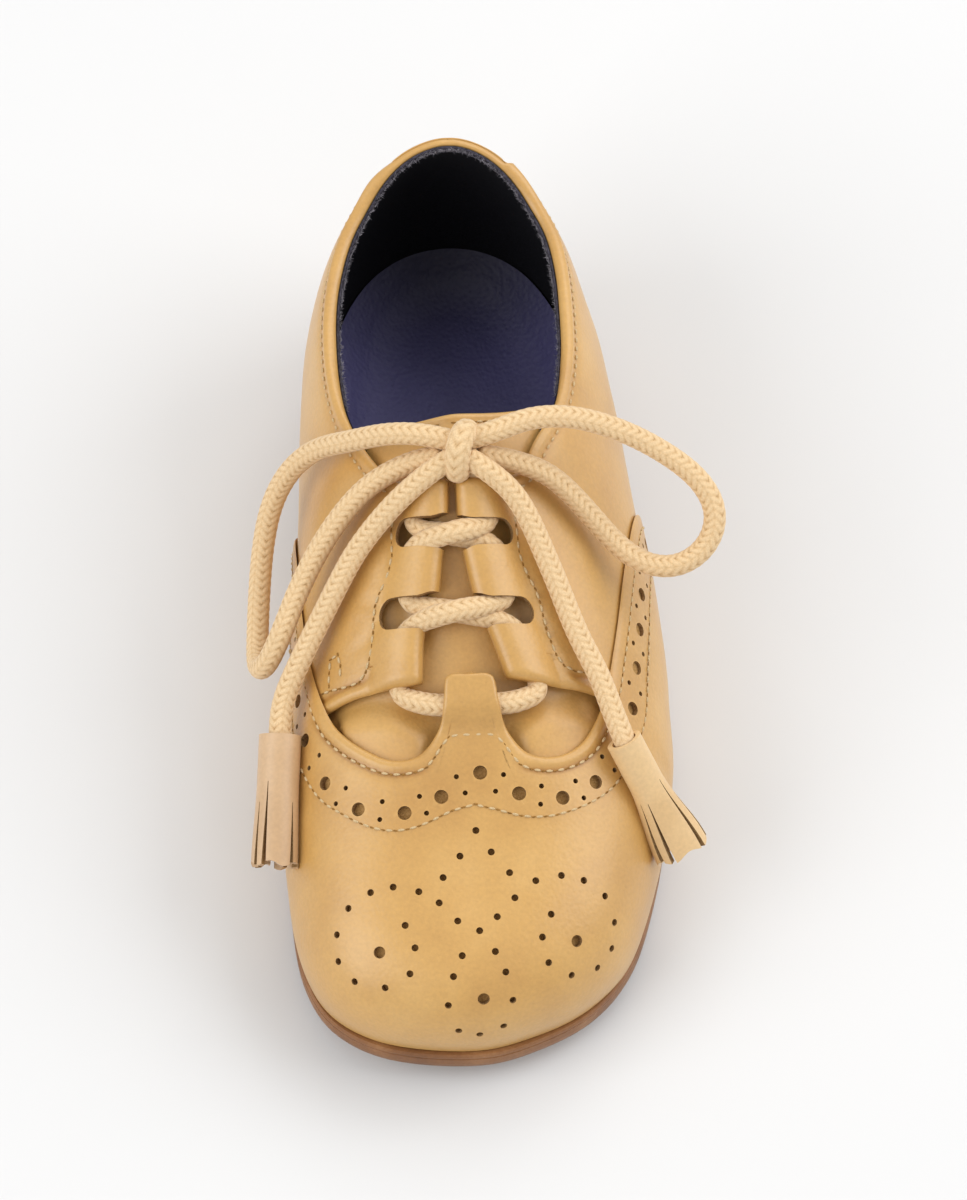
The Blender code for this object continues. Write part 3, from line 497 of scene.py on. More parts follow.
def lengths(curve):
    """Distance along a curve at each of its points."""
    return np.r_[0.0, np.cumsum(np.linalg.norm(np.diff(curve, axis=0), axis=1))]


def sampled(wanted, known, values):
    """Rows of values at wanted places between the known ones."""
    return np.stack([np.interp(wanted, known, column) for column in values.T], 1)


def spaced(curve, count):
    """The curve again, as count points at even distances."""
    along = lengths(curve)
    return sampled(np.linspace(0, along[-1], count), along, curve)


def blurred(padded, near):
    """Columns evened out over so many neighbours, which have been added before and after them."""
    weight = np.hanning(2 * near + 3)[1:-1]
    return np.stack([np.convolve(column, weight / weight.sum(), mode="valid") for column in padded.T], 1)


def relaxed(curve, reach):
    """A curve with its bends evened out over a distance, its ends kept."""
    curve = spaced(curve, RELAX_POINTS)
    near = max(1, int(reach * RELAX_POINTS / lengths(curve)[-1]))
    before, after = 2 * curve[0] - curve[near:0:-1], 2 * curve[-1] - curve[-2:-near - 2:-1]
    return blurred(np.vstack([before, curve, after]), near)


def ease(x):
    """Smooth step from 0 to 1."""
    x = np.clip(x, 0, 1)
    return x * x * (3 - 2 * x)


def between(x, start, end):
    """Smooth step from 0 at a start to 1 at an end, which may lie before it."""
    return ease((x - start) / (end - start))


def hump(x, centre, half):
    """Smooth hump of height 1."""
    return np.exp(-((x - centre) / half) ** 2)


def rolled(distance, rows):
    """Heights of a table's humps at distances from an edge."""
    return sum(rise * hump(distance, centre, half) for centre, rise, half in zip(*rows.values()))


def unit(vectors):
    """Vectors with their lengths made 1."""
    return vectors / np.linalg.norm(vectors, axis=-1, keepdims=True)


def bordered(first, last, count, start=0):
    """Even steps from a first to a last, with a narrow border row at the start and at 1."""
    return np.r_[start, np.linspace(first, last, count), 1]


def joined(out, back):
    """One path out along the first half and back along the second."""
    return np.vstack([out, back[-2::-1]])


def mirrored(points, side):
    """Pattern points given for the outer side, as they lie on a side."""
    return [(x * side, y) for x, y in points]


def collar_line(side):
    """Collar of one side to the middle of the back, as pattern points given for the outer side."""
    return tuple(zip(COLLAR[SIDE_NAMES[side]], COLLAR["station"])) + ((0.0, COLLAR_BACK),)


def sole_outline():
    """Closed edge of the sole, from the toe round the outer side to the heel and back."""
    station = SOLE_EDGE["station"]
    outer = list(zip(SOLE_EDGE["lateral"], station))
    inner = list(zip(-SOLE_EDGE["medial"][::-1], station[::-1]))
    return round_curve([TOE_TIP] + outer + [HEEL_BACK] + inner, closed=True)


def inset(loop, distance):
    """A closed loop moved inward."""
    run = unit(np.roll(loop, -1, 0) - np.roll(loop, 1, 0))
    return loop + np.reshape(distance, (-1, 1)) * np.stack([-run[:, 1], run[:, 0]], 1)


def half_loops(loop):
    """Each side's half of an outline from toe to heel, with the share of its length."""
    heel = len(loop) // 2
    halves = {LATERAL: loop[:heel + 1], MEDIAL: np.vstack([loop[:1], loop[:heel - 1:-1]])}
    return {side: (lengths(half) / lengths(half)[-1], half) for side, half in halves.items()}


def feather_line():
    """Closed line on the sole where the upper stands."""
    edge = sole_outline()
    return inset(edge, read(FEATHER_INSET, "distance", edge[:, 1]))


FEATHER = half_loops(feather_line())
SHIFT = np.append(np.array(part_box("outsole")[0])[:2] / MM - sole_outline().min(0), 0.0)


def underside(y):
    """Height of the sole's bottom."""
    return read(UNDERSIDE, "height", y)


def sole_top(y):
    """Height of the sole's upper face."""
    return underside(y) + SOLE_THICKNESS


def ridge_station(share):
    """Where the rib at a share of the outline meets the ridge."""
    return TOE_POLE + (HEEL_POLE - TOE_POLE) * share * share * (3 - 2 * share)


def feather_point(share, side):
    """Foot of the rib at a share of the outline."""
    shares, half = FEATHER[side]
    return np.interp(share, shares, half[:, 0]), np.interp(share, shares, half[:, 1])


def last_point(share, rise, side):
    """Point of the last on one rib: rise 0 at the sole, 1 at the ridge."""
    share, rise = np.broadcast_arrays(np.asarray(share, float), np.asarray(rise, float))
    foot_x, foot_y = feather_point(share, side)
    foot_z = sole_top(foot_y) + FEATHER_LIFT
    top_y = ridge_station(share)
    top_x = read(RIDGE, "shift", top_y)
    top_z = read(RIDGE, "height", top_y)
    ahead, behind = top_y + SLOPE_STEP, top_y - SLOPE_STEP
    slope = (read(RIDGE, "height", ahead) - read(RIDGE, "height", behind)) / (ahead - behind)
    angle = rise * np.pi / 2
    across = 1 - np.cos(angle) ** (2 / read(RIB, "over", share))
    up = np.sin(angle) ** (2 / read(RIB, "up", share))
    span_x, span_y = top_x - foot_x, top_y - foot_y
    bulge = BULGE_GAIN * read(RIB, SIDE_NAMES[side], share) * np.sin(np.pi * rise) * (1 - rise) ** BULGE_FADE
    reach = across - bulge / np.hypot(span_x, span_y)
    top_z = top_z - slope * span_y * (1 - across) * rise ** CREST_FADE
    return np.stack([foot_x + span_x * reach, foot_y + span_y * reach, foot_z + (top_z - foot_z) * up], -1)


SHARES = np.linspace(0, 1, SHARE_SAMPLES)
RISES = np.linspace(1, 0, GIRTH_SAMPLES)


def rib_pattern(side):
    """Girth down each rib from the ridge, and the rib's direction in the pattern plane."""
    ribs = last_point(SHARES[:, None], RISES[None, :], side)
    steps = np.linalg.norm(np.diff(ribs, axis=1), axis=2)
    girth = np.concatenate([np.zeros((SHARE_SAMPLES, 1)), np.cumsum(steps, 1)], 1)
    foot_x, foot_y = feather_point(SHARES, side)
    run = np.stack([foot_x - read(RIDGE, "shift", ridge_station(SHARES)), foot_y - ridge_station(SHARES)], 1)
    return girth, unit(run)


RIBS = {side: rib_pattern(side) for side in SIDE_NAMES}


def foot_pattern(shares, side):
    """Pattern places of the foot line at shares of the outline."""
    girth, run = RIBS[side]
    down = np.interp(shares, SHARES, girth[:, -1])
    direction = unit(sampled(shares, SHARES, run))
    start = np.stack([np.zeros_like(shares), ridge_station(shares)], 1)
    return start + down[:, None] * direction


def find_ribs(pattern, side):
    """Share and rise of pattern points that lie on one side."""
    girth, run = RIBS[side]
    ahead = run[:, 0] * (pattern[:, 1:] - ridge_station(SHARES)) - run[:, 1] * pattern[:, :1]
    ahead = ahead * side
    i = np.clip((ahead[:, 1:] > 0).sum(1), 0, SHARE_SAMPLES - 2)
    each = np.arange(len(pattern))
    near, far = ahead[each, i], ahead[each, i + 1]
    w = np.clip(near / np.where(near == far, 1.0, near - far), 0, 1)
    share = (i + w) / (SHARE_SAMPLES - 1)
    down = np.hypot(pattern[:, 0], pattern[:, 1] - ridge_station(share))
    tables = girth[i] * (1 - w)[:, None] + girth[i + 1] * w[:, None]
    rise = np.array([np.interp(d, row, RISES) for d, row in zip(down, tables)])
    return share, rise


def laid(pattern, height):
    """Pattern points wrapped onto the last at a height over it, with the last's outward normals."""
    pattern = np.asarray(pattern, float)
    shape = pattern.shape[:-1]
    pattern = pattern.reshape(-1, 2)
    height = np.broadcast_to(height, shape).reshape(-1)
    places = np.zeros((len(pattern), 3))
    normals = np.zeros((len(pattern), 3))
    for side in SIDE_NAMES:
        mask = (pattern[:, 0] < 0) == (side == MEDIAL)
        if not mask.any():
            continue
        share, rise = find_ribs(pattern[mask], side)
        along = last_point(np.minimum(share + SAMPLE_STEP, 1), rise, side)
        along = along - last_point(np.maximum(share - SAMPLE_STEP, 0), rise, side)
        upward = last_point(share, np.minimum(rise + SAMPLE_STEP, 1), side)
        upward = upward - last_point(share, np.maximum(rise - SAMPLE_STEP, 0), side)
        normal = unit(np.cross(along, upward) * side)
        normals[mask] = normal
        places[mask] = last_point(share, rise, side) + normal * height[mask][:, None]
    places[:, 2] = np.maximum(places[:, 2], sole_top(places[:, 1]) + GAP)
    return places.reshape(shape + (3,)), normals.reshape(shape + (3,))


def in_frame(places):
    """Millimetre places on the last as metres in the frame."""
    return (np.asarray(places) + SHIFT) * MM


def linear(hex_colour):
    """Linear red, green, blue and alpha of an sRGB hex value."""
    srgb = np.array([int(hex_colour[i:i + 2], 16) / 255 for i in (1, 3, 5)])
    low = srgb / 12.92
    high = ((srgb + 0.055) / 1.055) ** 2.4
    return tuple(float(c) for c in np.where(srgb <= 0.04045, low, high)) + (1.0,)


def fill_inputs(tree, node, inputs):
    """Links or sets a shader node's inputs."""
    for socket, value in inputs.items():
        if isinstance(value, bpy.types.NodeSocket):
            tree.links.new(value, node.inputs[socket])
        else:
            node.inputs[socket].default_value = value


def add(tree, kind, inputs, **settings):
    """Adds a shader node with its settings, values and links."""
    node = tree.nodes.new(kind)
    for name, value in settings.items():
        setattr(node, name, value)
    fill_inputs(tree, node, inputs)
    return node


def blank(name):
    """New material with its tree, shader and object coordinates."""
    made = bpy.data.materials.new(name)
    made.use_nodes = True
    tree = made.node_tree
    place = add(tree, "ShaderNodeTexCoord", {}).outputs["Object"]
    return made, tree, tree.nodes["Principled BSDF"], place


def per_mm(size):
    """Texture scale that repeats about once in a size in millimetres."""
    return 1 / (size * MM)


def noise(tree, place, size, detail, roughness=0.5):
    """Cloudy noise of a size in millimetres."""
    inputs = {"Vector": place, "Scale": per_mm(size), "Detail": detail, "Roughness": roughness}
    return add(tree, "ShaderNodeTexNoise", inputs).outputs["Fac"]


def ramp(tree, factor, *stops):
    """Colour between stops, each a position and a colour."""
    node = add(tree, "ShaderNodeValToRGB", {"Fac": factor})
    elements = node.color_ramp.elements
    for i, (position, colour) in enumerate(stops):
        element = elements[i] if i < len(elements) else elements.new(position)
        element.position = position
        element.color = colour
    return node.outputs["Color"]


def mixed(tree, factor, a, b, blend="MIX"):
    """Two colours mixed by a factor."""
    inputs = {"Factor": factor, "A": a, "B": b}
    return add(tree, "ShaderNodeMix", inputs, data_type="RGBA", blend_type=blend).outputs["Result"]


def bumped(tree, height, strength, depth):
    """Normal of a relief with its depth in millimetres."""
    inputs = {"Height": height, "Strength": strength, "Distance": depth * MM}
    return add(tree, "ShaderNodeBump", inputs).outputs["Normal"]


def stored(tree, name):
    """A value that the mesh keeps at its corners."""
    return add(tree, "ShaderNodeAttribute", {}, attribute_name=name).outputs["Fac"]


def calf_leather(name, dark, base, light, roughness, grain=0.55, relief=0.05, deep=None, coat=0.7):
    """Smooth dyed calf: soft cloudy dye, darkened toward a deep colour where the mesh stores shade, fine
    pores and a waxed sheen that breaks on the grain.
    """
    made, tree, shader, place = blank(name)
    cloud = noise(tree, place, size=16.0, detail=3.0, roughness=0.55)
    dye = ramp(tree, cloud, (0.05, dark), (0.5, base), (0.95, light))
    # Painted shade: the stored shade darkens the dye in stitched grooves and toward the insole's heel and
    # front; it also darkens the leather round the brogue band
    darkened_dye = mixed(tree, stored(tree, "shade"), dye, deep or dark)
    fleck = noise(tree, place, size=0.6, detail=2.0)
    mottle = ramp(tree, fleck, (0.3, (0.94, 0.94, 0.94, 1)), (0.7, (1.03, 1.03, 1.02, 1)))
    pores = add(tree, "ShaderNodeTexVoronoi", {"Vector": place, "Scale": per_mm(grain)}, feature="SMOOTH_F1")
    skin = noise(tree, place, size=grain * 3.2, detail=4.0)
    height = add(tree, "ShaderNodeMath", {0: pores.outputs["Distance"], 1: skin}, operation="ADD")
    sheen = {"Value": cloud, "To Min": roughness - 0.06, "To Max": roughness + 0.08}
    fill_inputs(tree, shader, {
        "Base Color": mixed(tree, 1.0, darkened_dye, mottle, "MULTIPLY"),
        "Normal": bumped(tree, height.outputs["Value"], strength=0.5, depth=relief),
        "Roughness": add(tree, "ShaderNodeMapRange", sheen).outputs["Result"],
        "IOR": 1.5,
        "Coat Weight": coat,
        "Coat Roughness": 0.4,
    })
    return made


def fibrous(name, dark, light, fibre, roughness):
    """Raw leather edge, felt or thread: short matted fibres that scatter the light."""
    made, tree, shader, place = blank(name)
    fuzz = noise(tree, place, size=fibre, detail=5.0, roughness=0.7)
    fill_inputs(tree, shader, {
        "Base Color": ramp(tree, fuzz, (0.3, dark), (0.7, light)),
        "Normal": bumped(tree, fuzz, strength=0.9, depth=fibre * 0.4),
        "Roughness": roughness,
        "Specular IOR Level": 0.2,
    })
    return made


def braided_cotton(name, dark, base, light):
    """Waxed cotton braid: fine yarns along each strand, with painted shade where the strands dive under and a
    painted highlight on their crowns.
    """
    made, tree, shader, place = blank(name)
    # Painted light from the braid's relief: shaded tone in its crevices, lit tone on the strands' crowns
    strand = ramp(tree, stored(tree, "relief"), (0.0, dark), (0.55, base), (1.0, light))
    yarn = noise(tree, place, size=0.28, detail=3.0, roughness=0.6)
    tint = ramp(tree, yarn, (0.3, (0.84, 0.82, 0.8, 1)), (0.7, (1.05, 1.04, 1.02, 1)))
    fill_inputs(tree, shader, {
        "Base Color": mixed(tree, 1.0, strand, tint, "MULTIPLY"),
        "Normal": bumped(tree, yarn, strength=0.6, depth=0.08),
        "Roughness": 0.78,
        "Specular IOR Level": 0.3,
        "Sheen Weight": 0.15,
    })
    return made


def sole_leather(name, dark, base, light):
    """Stained sole leather: a burnished, waxed edge with soft cloudy stain and short matted fibres."""
    made, tree, shader, place = blank(name)
    cloud = noise(tree, place, size=7.0, detail=4.0, roughness=0.6)
    fibre = noise(tree, place, size=0.5, detail=4.0, roughness=0.7)
    both = add(tree, "ShaderNodeMix", {"Factor": 0.35, "A": cloud, "B": fibre}).outputs["Result"]
    fill_inputs(tree, shader, {
        "Base Color": ramp(tree, both, (0.2, dark), (0.5, base), (0.8, light)),
        "Normal": bumped(tree, fibre, strength=0.4, depth=0.06),
        "Roughness": 0.45,
    })
    return made


WELD, RULED_ROWS = 0.000004, 9
PUNCH_ANGLE, SLAB_ANGLE = np.radians(50), np.radians(40)


def add_grid(bm, places):
    """Adds a grid of faces whose corners are moved to their places."""
    start = len(bm.verts)
    rows, columns = places.shape[:2]
    bmesh.ops.create_grid(bm, x_segments=columns - 1, y_segments=rows - 1, size=1.0)
    bm.verts.ensure_lookup_table()
    for vert, place in zip(bm.verts[start:], places.reshape(-1, 3)):
        vert.co = place


def face_out(bm):
    """Turns the faces of a closed bmesh outward."""
    bmesh.ops.recalc_face_normals(bm, faces=bm.faces)
    if bm.calc_volume(signed=True) < 0:
        bmesh.ops.reverse_faces(bm, faces=bm.faces)


def grid_mesh(name, places, uv=None, **layers):
    """Closed mesh from a grid, welded, with its ends filled and facing out."""
    bm = bmesh.new()
    add_grid(bm, in_frame(places))
    for layer_name, values in layers.items():
        layer = bm.verts.layers.float.new(layer_name)
        for vert, value in zip(bm.verts, np.broadcast_to(values, places.shape[:2]).reshape(-1)):
            vert[layer] = value
    if uv is not None:
        layer = bm.loops.layers.uv.new("UVMap")
        flat = uv.reshape(-1, 2)
        for face in bm.faces:
            for loop in face.loops:
                loop[layer].uv = flat[loop.vert.index]
    bmesh.ops.remove_doubles(bm, verts=bm.verts, dist=WELD)
    bmesh.ops.dissolve_degenerate(bm, edges=bm.edges, dist=WELD)
    bmesh.ops.holes_fill(bm, edges=[edge for edge in bm.edges if edge.is_boundary], sides=0)
    face_out(bm)
    return finished_mesh(name, bm)


def sheet(name, pattern, outer, inner, shade=0.0, ring=False):
    """Closed leather sheet between two heights over the last, which meet along its border.

    A ring has its first and last columns in one place and no border there.
    """
    outer = np.broadcast_to(outer, pattern.shape[:2]).copy()
    inner = np.broadcast_to(inner, pattern.shape[:2]).copy()
    border = np.ones(pattern.shape[:2], bool)
    border[1:-1, :] = False
    border[:, [0, -1]] |= not ring
    outer[border] = inner[border] = ((outer + inner) / 2)[border]
    shade = np.broadcast_to(shade, pattern.shape[:2])
    places, _ = laid(np.concatenate([pattern, pattern[::-1]]), np.concatenate([outer, inner[::-1]]))
    return grid_mesh(name, places, shade=np.concatenate([shade, shade[::-1]]))


def finished_mesh(name, bm):
    """Smooth mesh data from a bmesh, which is freed."""
    mesh = bpy.data.meshes.new(name)
    bm.to_mesh(mesh)
    bm.free()
    mesh.shade_smooth()
    return mesh


def add_piece(name, mesh, slot, *materials, replaces=()):
    """Object for a finished mesh, riding on the shoe."""
    piece = bpy.data.objects.new(name, mesh)
    bpy.context.scene.collection.objects.link(piece)
    for material in materials:
        mesh.materials.append(material)
    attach(piece, "root")
    if replaces:
        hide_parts(*replaces)
    return piece


def cut_out(mesh, cutter_mesh, skin, raw):
    """A closed mesh less its cutters, with the raw leather on the cut faces."""
    mesh.materials.append(skin)
    cutter_mesh.materials.append(raw)
    body = bpy.data.objects.new("panel", mesh)
    cutter = bpy.data.objects.new("punch", cutter_mesh)
    for thing in (body, cutter):
        bpy.context.scene.collection.objects.link(thing)
    cut = body.modifiers.new("punch", "BOOLEAN")
    cut.operation = "DIFFERENCE"
    cut.solver = "EXACT"
    cut.material_mode = "TRANSFER"
    cut.object = cutter
    bpy.context.view_layer.update()
    result = bpy.data.meshes.new_from_object(body.evaluated_get(bpy.context.evaluated_depsgraph_get()))
    bpy.data.objects.remove(body)
    bpy.data.objects.remove(cutter)
    result.shade_smooth()
    result.set_sharp_from_angle(angle=PUNCH_ANGLE)
    return result


def inward(edge, foot, corner=0.0):
    """Unit directions across an open outline toward its foot line, turned over a distance at corners."""
    run = np.gradient(edge, axis=0)
    near = int(corner * len(edge) / lengths(edge)[-1])
    if near:
        run = blurred(np.pad(run, ((near, near), (0, 0)), mode="edge"), near)
    run = unit(run)
    across = np.stack([-run[:, 1], run[:, 0]], 1)
    middle = len(edge) // 3
    return across * np.sign(np.sum(across[middle] * (foot[middle] - edge[middle])))


def panel(edge, foot, width, plain, thickness, base, rows, under_rows, under=None, corner=0.0, pinch=0.0):
    """Pattern, heights and painted shade of a closed panel: folded rim, outer face to the foot, inner face
    back.

    Where plain is 1 the rim is a round fold, with no roll and no stitched groove. A pinch draws columns that
    start at a narrow tab toward the middle line, so that those from its sides don't lie on each other.
    """
    across = inward(edge, foot, corner)
    patterns, heights, shades = [], [], []
    for row, step, turn, level in zip(*RIM.values()):
        simple = min(level, 1.0) if row < RIM_CROWN else 1.0
        patterns.append(edge + across * ((step + (turn - step) * plain) * width)[:, None])
        heights.append(base + (level * (1 - plain) + simple * plain) * thickness)
        # Painted shade in the stitched groove of the rolled rim
        shades.append((1 - plain) * hump(step, RIM_STITCH, RIM_GROOVE))
    first, last = patterns[0], patterns[-1]
    for share in np.linspace(0, 1, rows)[1:]:
        row = last * (1 - share) + foot * share
        row[:, 0] *= 1 - pinch * (1 - share) * ease(share / PINCH_SHARE)
        patterns.append(row)
        heights.append(np.full(len(edge), base + thickness))
        shades.append(np.zeros(len(edge)))
    for share in 1 - np.linspace(1, 0, under_rows) ** 2:
        inner = foot * (1 - share) + first * share
        fade = ease((1 - share) / UNDER_FADE)
        patterns.append(inner)
        heights.append(base + fade * under(inner) if under else np.full(len(edge), base))
        shades.append(np.zeros(len(edge)))
    return np.array(patterns), np.array(heights), np.array(shades)


def soft_waves(pattern, size):
    """Gentle unevenness of lasted leather, a few hundredths to a tenth of a millimetre."""
    x, y = pattern[..., 0], pattern[..., 1]
    wave = np.sin(x / WAVE_X + WAVE_BEND * np.sin(y / BEND_Y)) * np.cos(y / WAVE_Y)
    return size * (wave + RIPPLE * np.sin(y / RIPPLE_Y + x / RIPPLE_X))


def wing_path(side, count):
    """Wing's edge on one side, from the middle of the tab to the sole, with its foot line."""
    side_line = tuple(zip(WING_SIDE[SIDE_NAMES[side]], WING_SIDE["station"]))
    path = spaced(round_curve(WING_TAB + WING_SCALLOP + side_line), count)
    path[:, 0] *= side
    return path, foot_pattern(WING_END * lengths(path) / lengths(path)[-1], side)


def whole_wing(count):
    """Wing's edge from the inner side over the tab to the outer side, with its foot line."""
    inner, outer = wing_path(MEDIAL, count), wing_path(LATERAL, count)
    return [np.vstack([half[:0:-1], other]) for half, other in zip(inner, outer)]


def tab_lift(pattern):
    """Height that the tab gains over the lace."""
    up = between(pattern[..., 1], TAB_ROOT, TAB_RISEN)
    return TAB_LIFT * up * between(np.abs(pattern[..., 0]), TAB_HALF, TAB_CORE)


def wing_level(pattern, height):
    """Heights of the wing's leather, which is pared thin up its sides."""
    thin = between(pattern[..., 1], *PARED_STATION) * between(np.abs(pattern[..., 0]), *PARED_OUT)
    return GAP * (1 - PARED_GAP * thin) + (height - GAP) * (1 - PARED_LEATHER * thin)


def creased(pattern, creases):
    """Depth of soft creases: a trough along each line with a low ridge beside it."""
    depth = np.zeros(pattern.shape[:2])
    for start, end, deep, half in creases:
        start, run = np.array(start), np.array(end) - np.array(start)
        share = np.clip((pattern - start) @ run / (run @ run), 0, 1)
        away = np.linalg.norm(pattern - start - share[..., None] * run, axis=-1) / half
        fade = np.sin(np.pi * (CREASE_END + (1 - 2 * CREASE_END) * share))
        depth += deep * fade * (hump(away, 0.0, 1.0) - CREASE_RIDGE * hump(away, RIDGE_AWAY, 1.0))
    return depth


def punches(points, radii, depth, sides):
    """Round cutters square to the leather at pattern points."""
    bm = bmesh.new()
    places, normals = laid(points, 0.0)
    for place, normal, radius in zip(in_frame(places), normals, radii):
        turn = Vector(normal).to_track_quat("Z", "Y").to_matrix().to_4x4()
        bmesh.ops.create_cone(bm, cap_ends=True, segments=sides, radius1=radius * MM, radius2=radius * MM,
                              depth=depth * MM, matrix=Matrix.Translation(Vector(place)) @ turn)
    mesh = bpy.data.meshes.new("punches")
    bm.to_mesh(mesh)
    bm.free()
    return mesh


def brogue_holes(sizes):
    """Pattern points and radii of the band and the medallion."""
    big, fine, small = sizes.big_hole / 2, sizes.pin_hole / 2, sizes.medallion_hole / 2
    medium = MEDALLION_BIG_SHARE * sizes.medallion_hole
    holes = [(BAND_CENTRE, big)]
    for side in SIDE_NAMES:
        row = np.array((BAND_CENTRE,) + BAND[side])
        for a, b in zip(row[:-1], row[1:]):
            run = unit(b - a)
            for sign in (-1, 1):
                holes.append(((a + b) / 2 + sign * BAND_PAIR * np.array([-run[1], run[0]]), fine))
            holes.append((b, big))
        for group, (move_x, move_y), radius in (
            (MEDALLION_HALF, MEDALLION_DRIFT[side], small),
            (MEDALLION_RING, RING_DRIFT[side], small),
            ((MEDALLION_RING_BIG,), RING_DRIFT[side], medium),
        ):
            holes += [((x * side + move_x, y + move_y), radius) for x, y in group]
    holes += [(point, small) for point in MEDALLION_MIDDLE] + [(MEDALLION_BIG, medium)]
    points, radii = zip(*holes)
    return np.array(points, float), radii


def slot_cutter(bm, outer, inner, half, mouth, low, high):
    """Prism through the leather along a lace slot: round outer end, and a mouth that opens at the fold."""
    outer, inner = np.array(outer), np.array(inner)
    total = np.linalg.norm(inner - outer)
    run = (inner - outer) / total
    side = np.array([-run[1], run[0]])
    turns = np.linspace(np.pi / 2, -np.pi / 2, SLOT_ROUND)
    ahead = np.r_[-half * np.cos(turns), np.linspace(0, total, SLOT_ROUND)[1:]]
    breadth = np.r_[half * np.sin(turns), np.full(SLOT_ROUND - 1, -half)]
    breadth = breadth - SLOT_MOUTH * between(ahead, mouth - SLOT_FLARE, mouth)
    back = np.linspace(total, 0, SLOT_ROUND)[:-1]
    ahead = np.r_[ahead, back]
    breadth = np.r_[breadth, half + SLOT_MOUTH * between(back, mouth - SLOT_FLARE, mouth)]
    flat = outer + ahead[:, None] * run + breadth[:, None] * side
    made = bmesh.ops.create_circle(bm, cap_ends=True, segments=len(flat), radius=1.0)["verts"]
    floor = in_frame(laid(flat, low)[0])
    roof = in_frame(laid(flat, high)[0])
    face = next(f for f in made[0].link_faces)
    for vert, place in zip(made, floor):
        vert.co = place
    lifted = bmesh.ops.extrude_face_region(bm, geom=[face])["geom"]
    tops = [item for item in lifted if isinstance(item, bmesh.types.BMVert)]
    for vert in tops:
        nearest = int(np.argmin(np.linalg.norm(floor - np.array(vert.co), axis=1)))
        vert.co = roof[nearest]


def stitch_line(bm, route, height, sizes, holes=True):
    """Row of thread stitches along pattern points, each a small capsule with a needle hole before it, the
    hole a flat dark disc of painted shade.
    """
    curve = round_curve(route)
    count = max(2, int(lengths(curve)[-1] / sizes.stitch_pitch))
    ends = spaced(curve, count + 1)
    middles = (ends[:-1] + ends[1:]) / 2
    levels = height if callable(height) else lambda points: np.full(len(points), height)
    places, normals = laid(middles, levels(middles))
    edges, edge_normals = laid(ends, levels(ends))
    thick = sizes.thread / 2
    for i, (middle, normal) in enumerate(zip(places, normals)):
        along = Vector(edges[i + 1] - edges[i])
        reach = along.length * STITCH_SHARE / 2
        along.normalize()
        across = Vector(normal).cross(along).normalized()
        up = along.cross(across)
        shapes = [(middle, (thick, thick, reach), up, 0)]
        # Dark disc of painted shade for the needle hole
        if holes:
            pit = (thick * NEEDLE_BREADTH, NEEDLE_DEPTH, NEEDLE_HOLE / 2)
            shapes.append((edges[i], pit, Vector(edge_normals[i]), 1))
        for centre, size, lift, kind in shapes:
            turn = Matrix((across * size[0], lift * size[1], along * size[2])).transposed() * MM
            place = Matrix.Translation(Vector(in_frame(centre))) @ turn.to_4x4()
            ball = bmesh.ops.create_uvsphere(bm, u_segments=6, v_segments=5, radius=1.0, matrix=place)
            for face in {face for vert in ball["verts"] for face in vert.link_faces}:
                face.material_index = kind


def quarter_path(side, count):
    """Outline of one quarter from under the wing, up the lace loops and back along the collar."""
    fold = list(LOOP_FOLDS[side])
    start = (fold[0][0] + side * LOW_CORNER[0], fold[0][1] + LOW_CORNER[1])
    end = (fold[-1][0] + side * TOP_CORNER[0], fold[-1][1] + TOP_CORNER[1])
    lower = round_curve(mirrored(QUARTER_LOW, side) + [start])
    upright = round_curve(fold)
    upper = round_curve([end] + mirrored(QUARTER_TOP + collar_line(side), side))
    whole = np.vstack([lower, upright, upper])
    path = spaced(whole, count)
    along = lengths(path) / lengths(path)[-1]
    turns = lengths(whole)[[0, len(lower) - 1, len(lower) + len(upright) - 1]]
    knots = turns / lengths(whole)[-1]
    ribs = np.maximum.accumulate(find_ribs(path, side)[0])
    early = np.interp(along, knots, QUARTER_SHARES)
    share = np.where(along < knots[-1], early, np.maximum(ribs, QUARTER_SHARES[-1]))
    share = np.maximum.accumulate(share)
    near = 2 * SHARE_BLUR + 1
    smooth = np.convolve(np.pad(share, SHARE_BLUR, mode="edge"), np.ones(near) / near, mode="valid")
    smooth[0], smooth[-1] = share[0], 1.0
    return path, foot_pattern(smooth, side), along, knots


def loop_lift(pattern, side):
    """Rise of the folded loops over the lace, from the slots' outer ends to the fold line."""
    fold = np.array(LOOP_FOLDS[side])
    line = np.interp(pattern[..., 1], fold[:, 1], fold[:, 0])
    out = (pattern[..., 0] - line) * side
    shape = np.sin(np.pi * np.clip(LOOP_START + (1 - LOOP_START) * out / LOOP_REACH, 0, 1))
    return LOOP_RISE * shape * between(pattern[..., 1], *LOOP_FRONT) * between(pattern[..., 1], *LOOP_BACK)


def collar_pad(edge, down):
    """Thickness that the folded collar adds to the quarters at a distance below a collar point."""
    pairs = zip(COLLAR_STEP[MEDIAL], COLLAR_STEP[LATERAL])
    start, full = [np.where(edge[..., 0] < 0, *pair) for pair in pairs]
    forward = between(np.abs(edge[..., 0]), start, full) * between(edge[..., 1], *COLLAR_PAD_STATION)
    return COLLAR_PAD * forward * between(down, COLLAR_PAD_REACH, 0.0)


def length_setting(name, about, default):
    """Setting for a size."""
    return bpy.props.FloatProperty(name=name, description=f"{about} in mm", default=default)


def colour_setting(name, about, hex_colour):
    """Setting for a colour."""
    return bpy.props.FloatVectorProperty(
        name=name, description=about, subtype="COLOR", size=4, default=linear(hex_colour))


